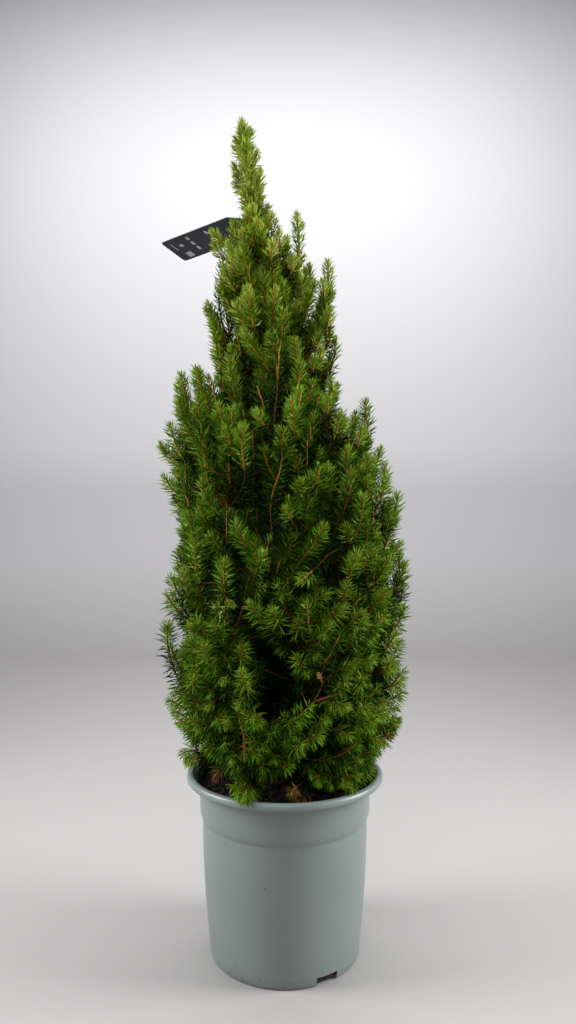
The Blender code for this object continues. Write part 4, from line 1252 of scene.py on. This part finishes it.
tag = nodes["plant_tag"]
tag.data.materials.clear()
tag.data.materials.append(card_material())
tag_corners = corners_of("plant_tag")
tag_middle = tag_corners.mean(axis=0)
tag_axes = np.linalg.svd(tag_corners - tag_middle)[2]
tag_down = tag_axes[2] * -np.sign(tag_axes[2][2])
tag_long = tag_axes[0]
tag_wide = np.cross(tag_down, tag_long)
under = (tag_corners @ tag_down).max()
marks = []
for column, row, mark_length, mark_width in PRINT_MARKS:
    sight = seen_at(column, row, 0.0) - CAMERA_PLACE
    middle = CAMERA_PLACE + sight * (under - CAMERA_PLACE @ tag_down) / (sight @ tag_down)
    bpy.ops.object.select_all(action="DESELECT")
    bpy.ops.mesh.primitive_cube_add(size=1, scale=(mark_length, mark_width, PRINT_THICKNESS))
    mark = bpy.context.object
    turned = Matrix((tag_long, tag_wide, tag_down)).transposed().to_4x4()
    mark.matrix_world = Matrix.Translation(middle) @ turned
    marks.append(mark)
bpy.ops.object.select_all(action="DESELECT")
for mark in marks:
    mark.select_set(True)
bpy.context.view_layer.objects.active = marks[0]
bpy.ops.object.join()
tag_print = bpy.context.object
tag_print.name = "tag_print"
finish_piece(tag_print, plain_material("tag_ink", (0.42, 0.42, 0.45), 0.6, 0.2))
print("tag marks:", len(marks))

# %% [markdown]
# ## Floor, backdrop and light
# A pale sheet runs under the pot and up behind it in one soft curve, its colour darker on the floor
# and paler up the backdrop as painted light. A broad lamp hangs close above, so that the top of the
# plant is brighter than its foot, and two tall lamps at the sides light its edges. Little light comes
# from the front, which leaves the inside of the crown dark.

# %% Stage
SHEET_SIZE = 7.0
SHEET_BACK = 2.4
SHEET_HEIGHT = 3.2
SHEET_CURVE = 0.6

bpy.ops.object.select_all(action="DESELECT")
bpy.ops.mesh.primitive_plane_add(size=SHEET_SIZE, location=(0, SHEET_BACK - SHEET_SIZE / 2, 0))
sweep = bpy.context.object
sweep.name = "studio_sweep"
bpy.ops.object.transform_apply(location=True, rotation=True, scale=True)
for face in sweep.data.polygons:
    face.select = False
for edge in sweep.data.edges:
    edge.select = all(sweep.data.vertices[corner].co.y > SHEET_BACK - 0.01 for corner in edge.vertices)
for corner in sweep.data.vertices:
    corner.select = corner.co.y > SHEET_BACK - 0.01
bpy.ops.object.mode_set(mode="EDIT")
bpy.ops.mesh.select_mode(type="EDGE")
bpy.ops.mesh.extrude_region_move(TRANSFORM_OT_translate={"value": (0, 0, SHEET_HEIGHT)})
bpy.ops.object.mode_set(mode="OBJECT")
for edge in sweep.data.edges:
    places = [sweep.data.vertices[corner].co for corner in edge.vertices]
    edge.select = all(place.y > SHEET_BACK - 0.01 and place.z < 0.01 for place in places)
for corner in sweep.data.vertices:
    corner.select = corner.co.y > SHEET_BACK - 0.01 and corner.co.z < 0.01
bpy.ops.object.mode_set(mode="EDIT")
bpy.ops.mesh.bevel(offset=SHEET_CURVE, segments=14)
bpy.ops.object.mode_set(mode="OBJECT")
bpy.ops.object.shade_smooth()
paper, tree = new_material("studio_paper")
# painted light: the paper is darker on the floor and paler up the backdrop
height = add_node(tree, "ShaderNodeSeparateXYZ", inputs={0: place_of(tree)}, output=2)
finish_material(tree, {"Roughness": 0.8, "Specular IOR Level": 0.2, "Base Color": ramp(
    tree, height, ((0.0, (0.315, 0.307, 0.304)), (0.3, (0.45, 0.44, 0.45)), (0.8, (0.59, 0.58, 0.595))))})
sweep.data.materials.append(paper)


def soft_light(name, place, target, width, height, power, spread=180):
    light = bpy.data.lights.new(name, "AREA")
    light.shape = "RECTANGLE"
    light.size, light.size_y = width, height
    light.energy = power
    light.spread = math.radians(spread)
    lamp = bpy.data.objects.new(name, light)
    bpy.context.collection.objects.link(lamp)
    lamp.location = place
    lamp.rotation_euler = (Vector(target) - Vector(place)).to_track_quat("-Z", "Y").to_euler()


soft_light("top_light", (0.05, -0.10, 1.95), (0, 0.05, 0.4), 1.3, 1.0, 22)
soft_light("left_light", (-1.35, -0.15, 0.97), (0, 0, 0.70), 0.6, 1.0, 17, 120)
soft_light("right_light", (1.35, -0.10, 0.92), (0, 0, 0.64), 0.6, 1.3, 19, 120)
soft_light("front_light", (-0.3, -2.0, 1.5), (0, 0, 0.5), 1.0, 1.0, 12.5)
soft_light("backdrop_light", (0, 1.2, 2.4), (0, 2.4, 0.5), 2.4, 0.5, 48)
world = bpy.data.worlds.new("studio_air")
world.use_nodes = True
world.node_tree.nodes["Background"].inputs["Color"].default_value = (0.86, 0.87, 0.90, 1.0)
world.node_tree.nodes["Background"].inputs["Strength"].default_value = 0.20
bpy.context.scene.world = world
bpy.context.scene.view_settings.view_transform = "Standard"
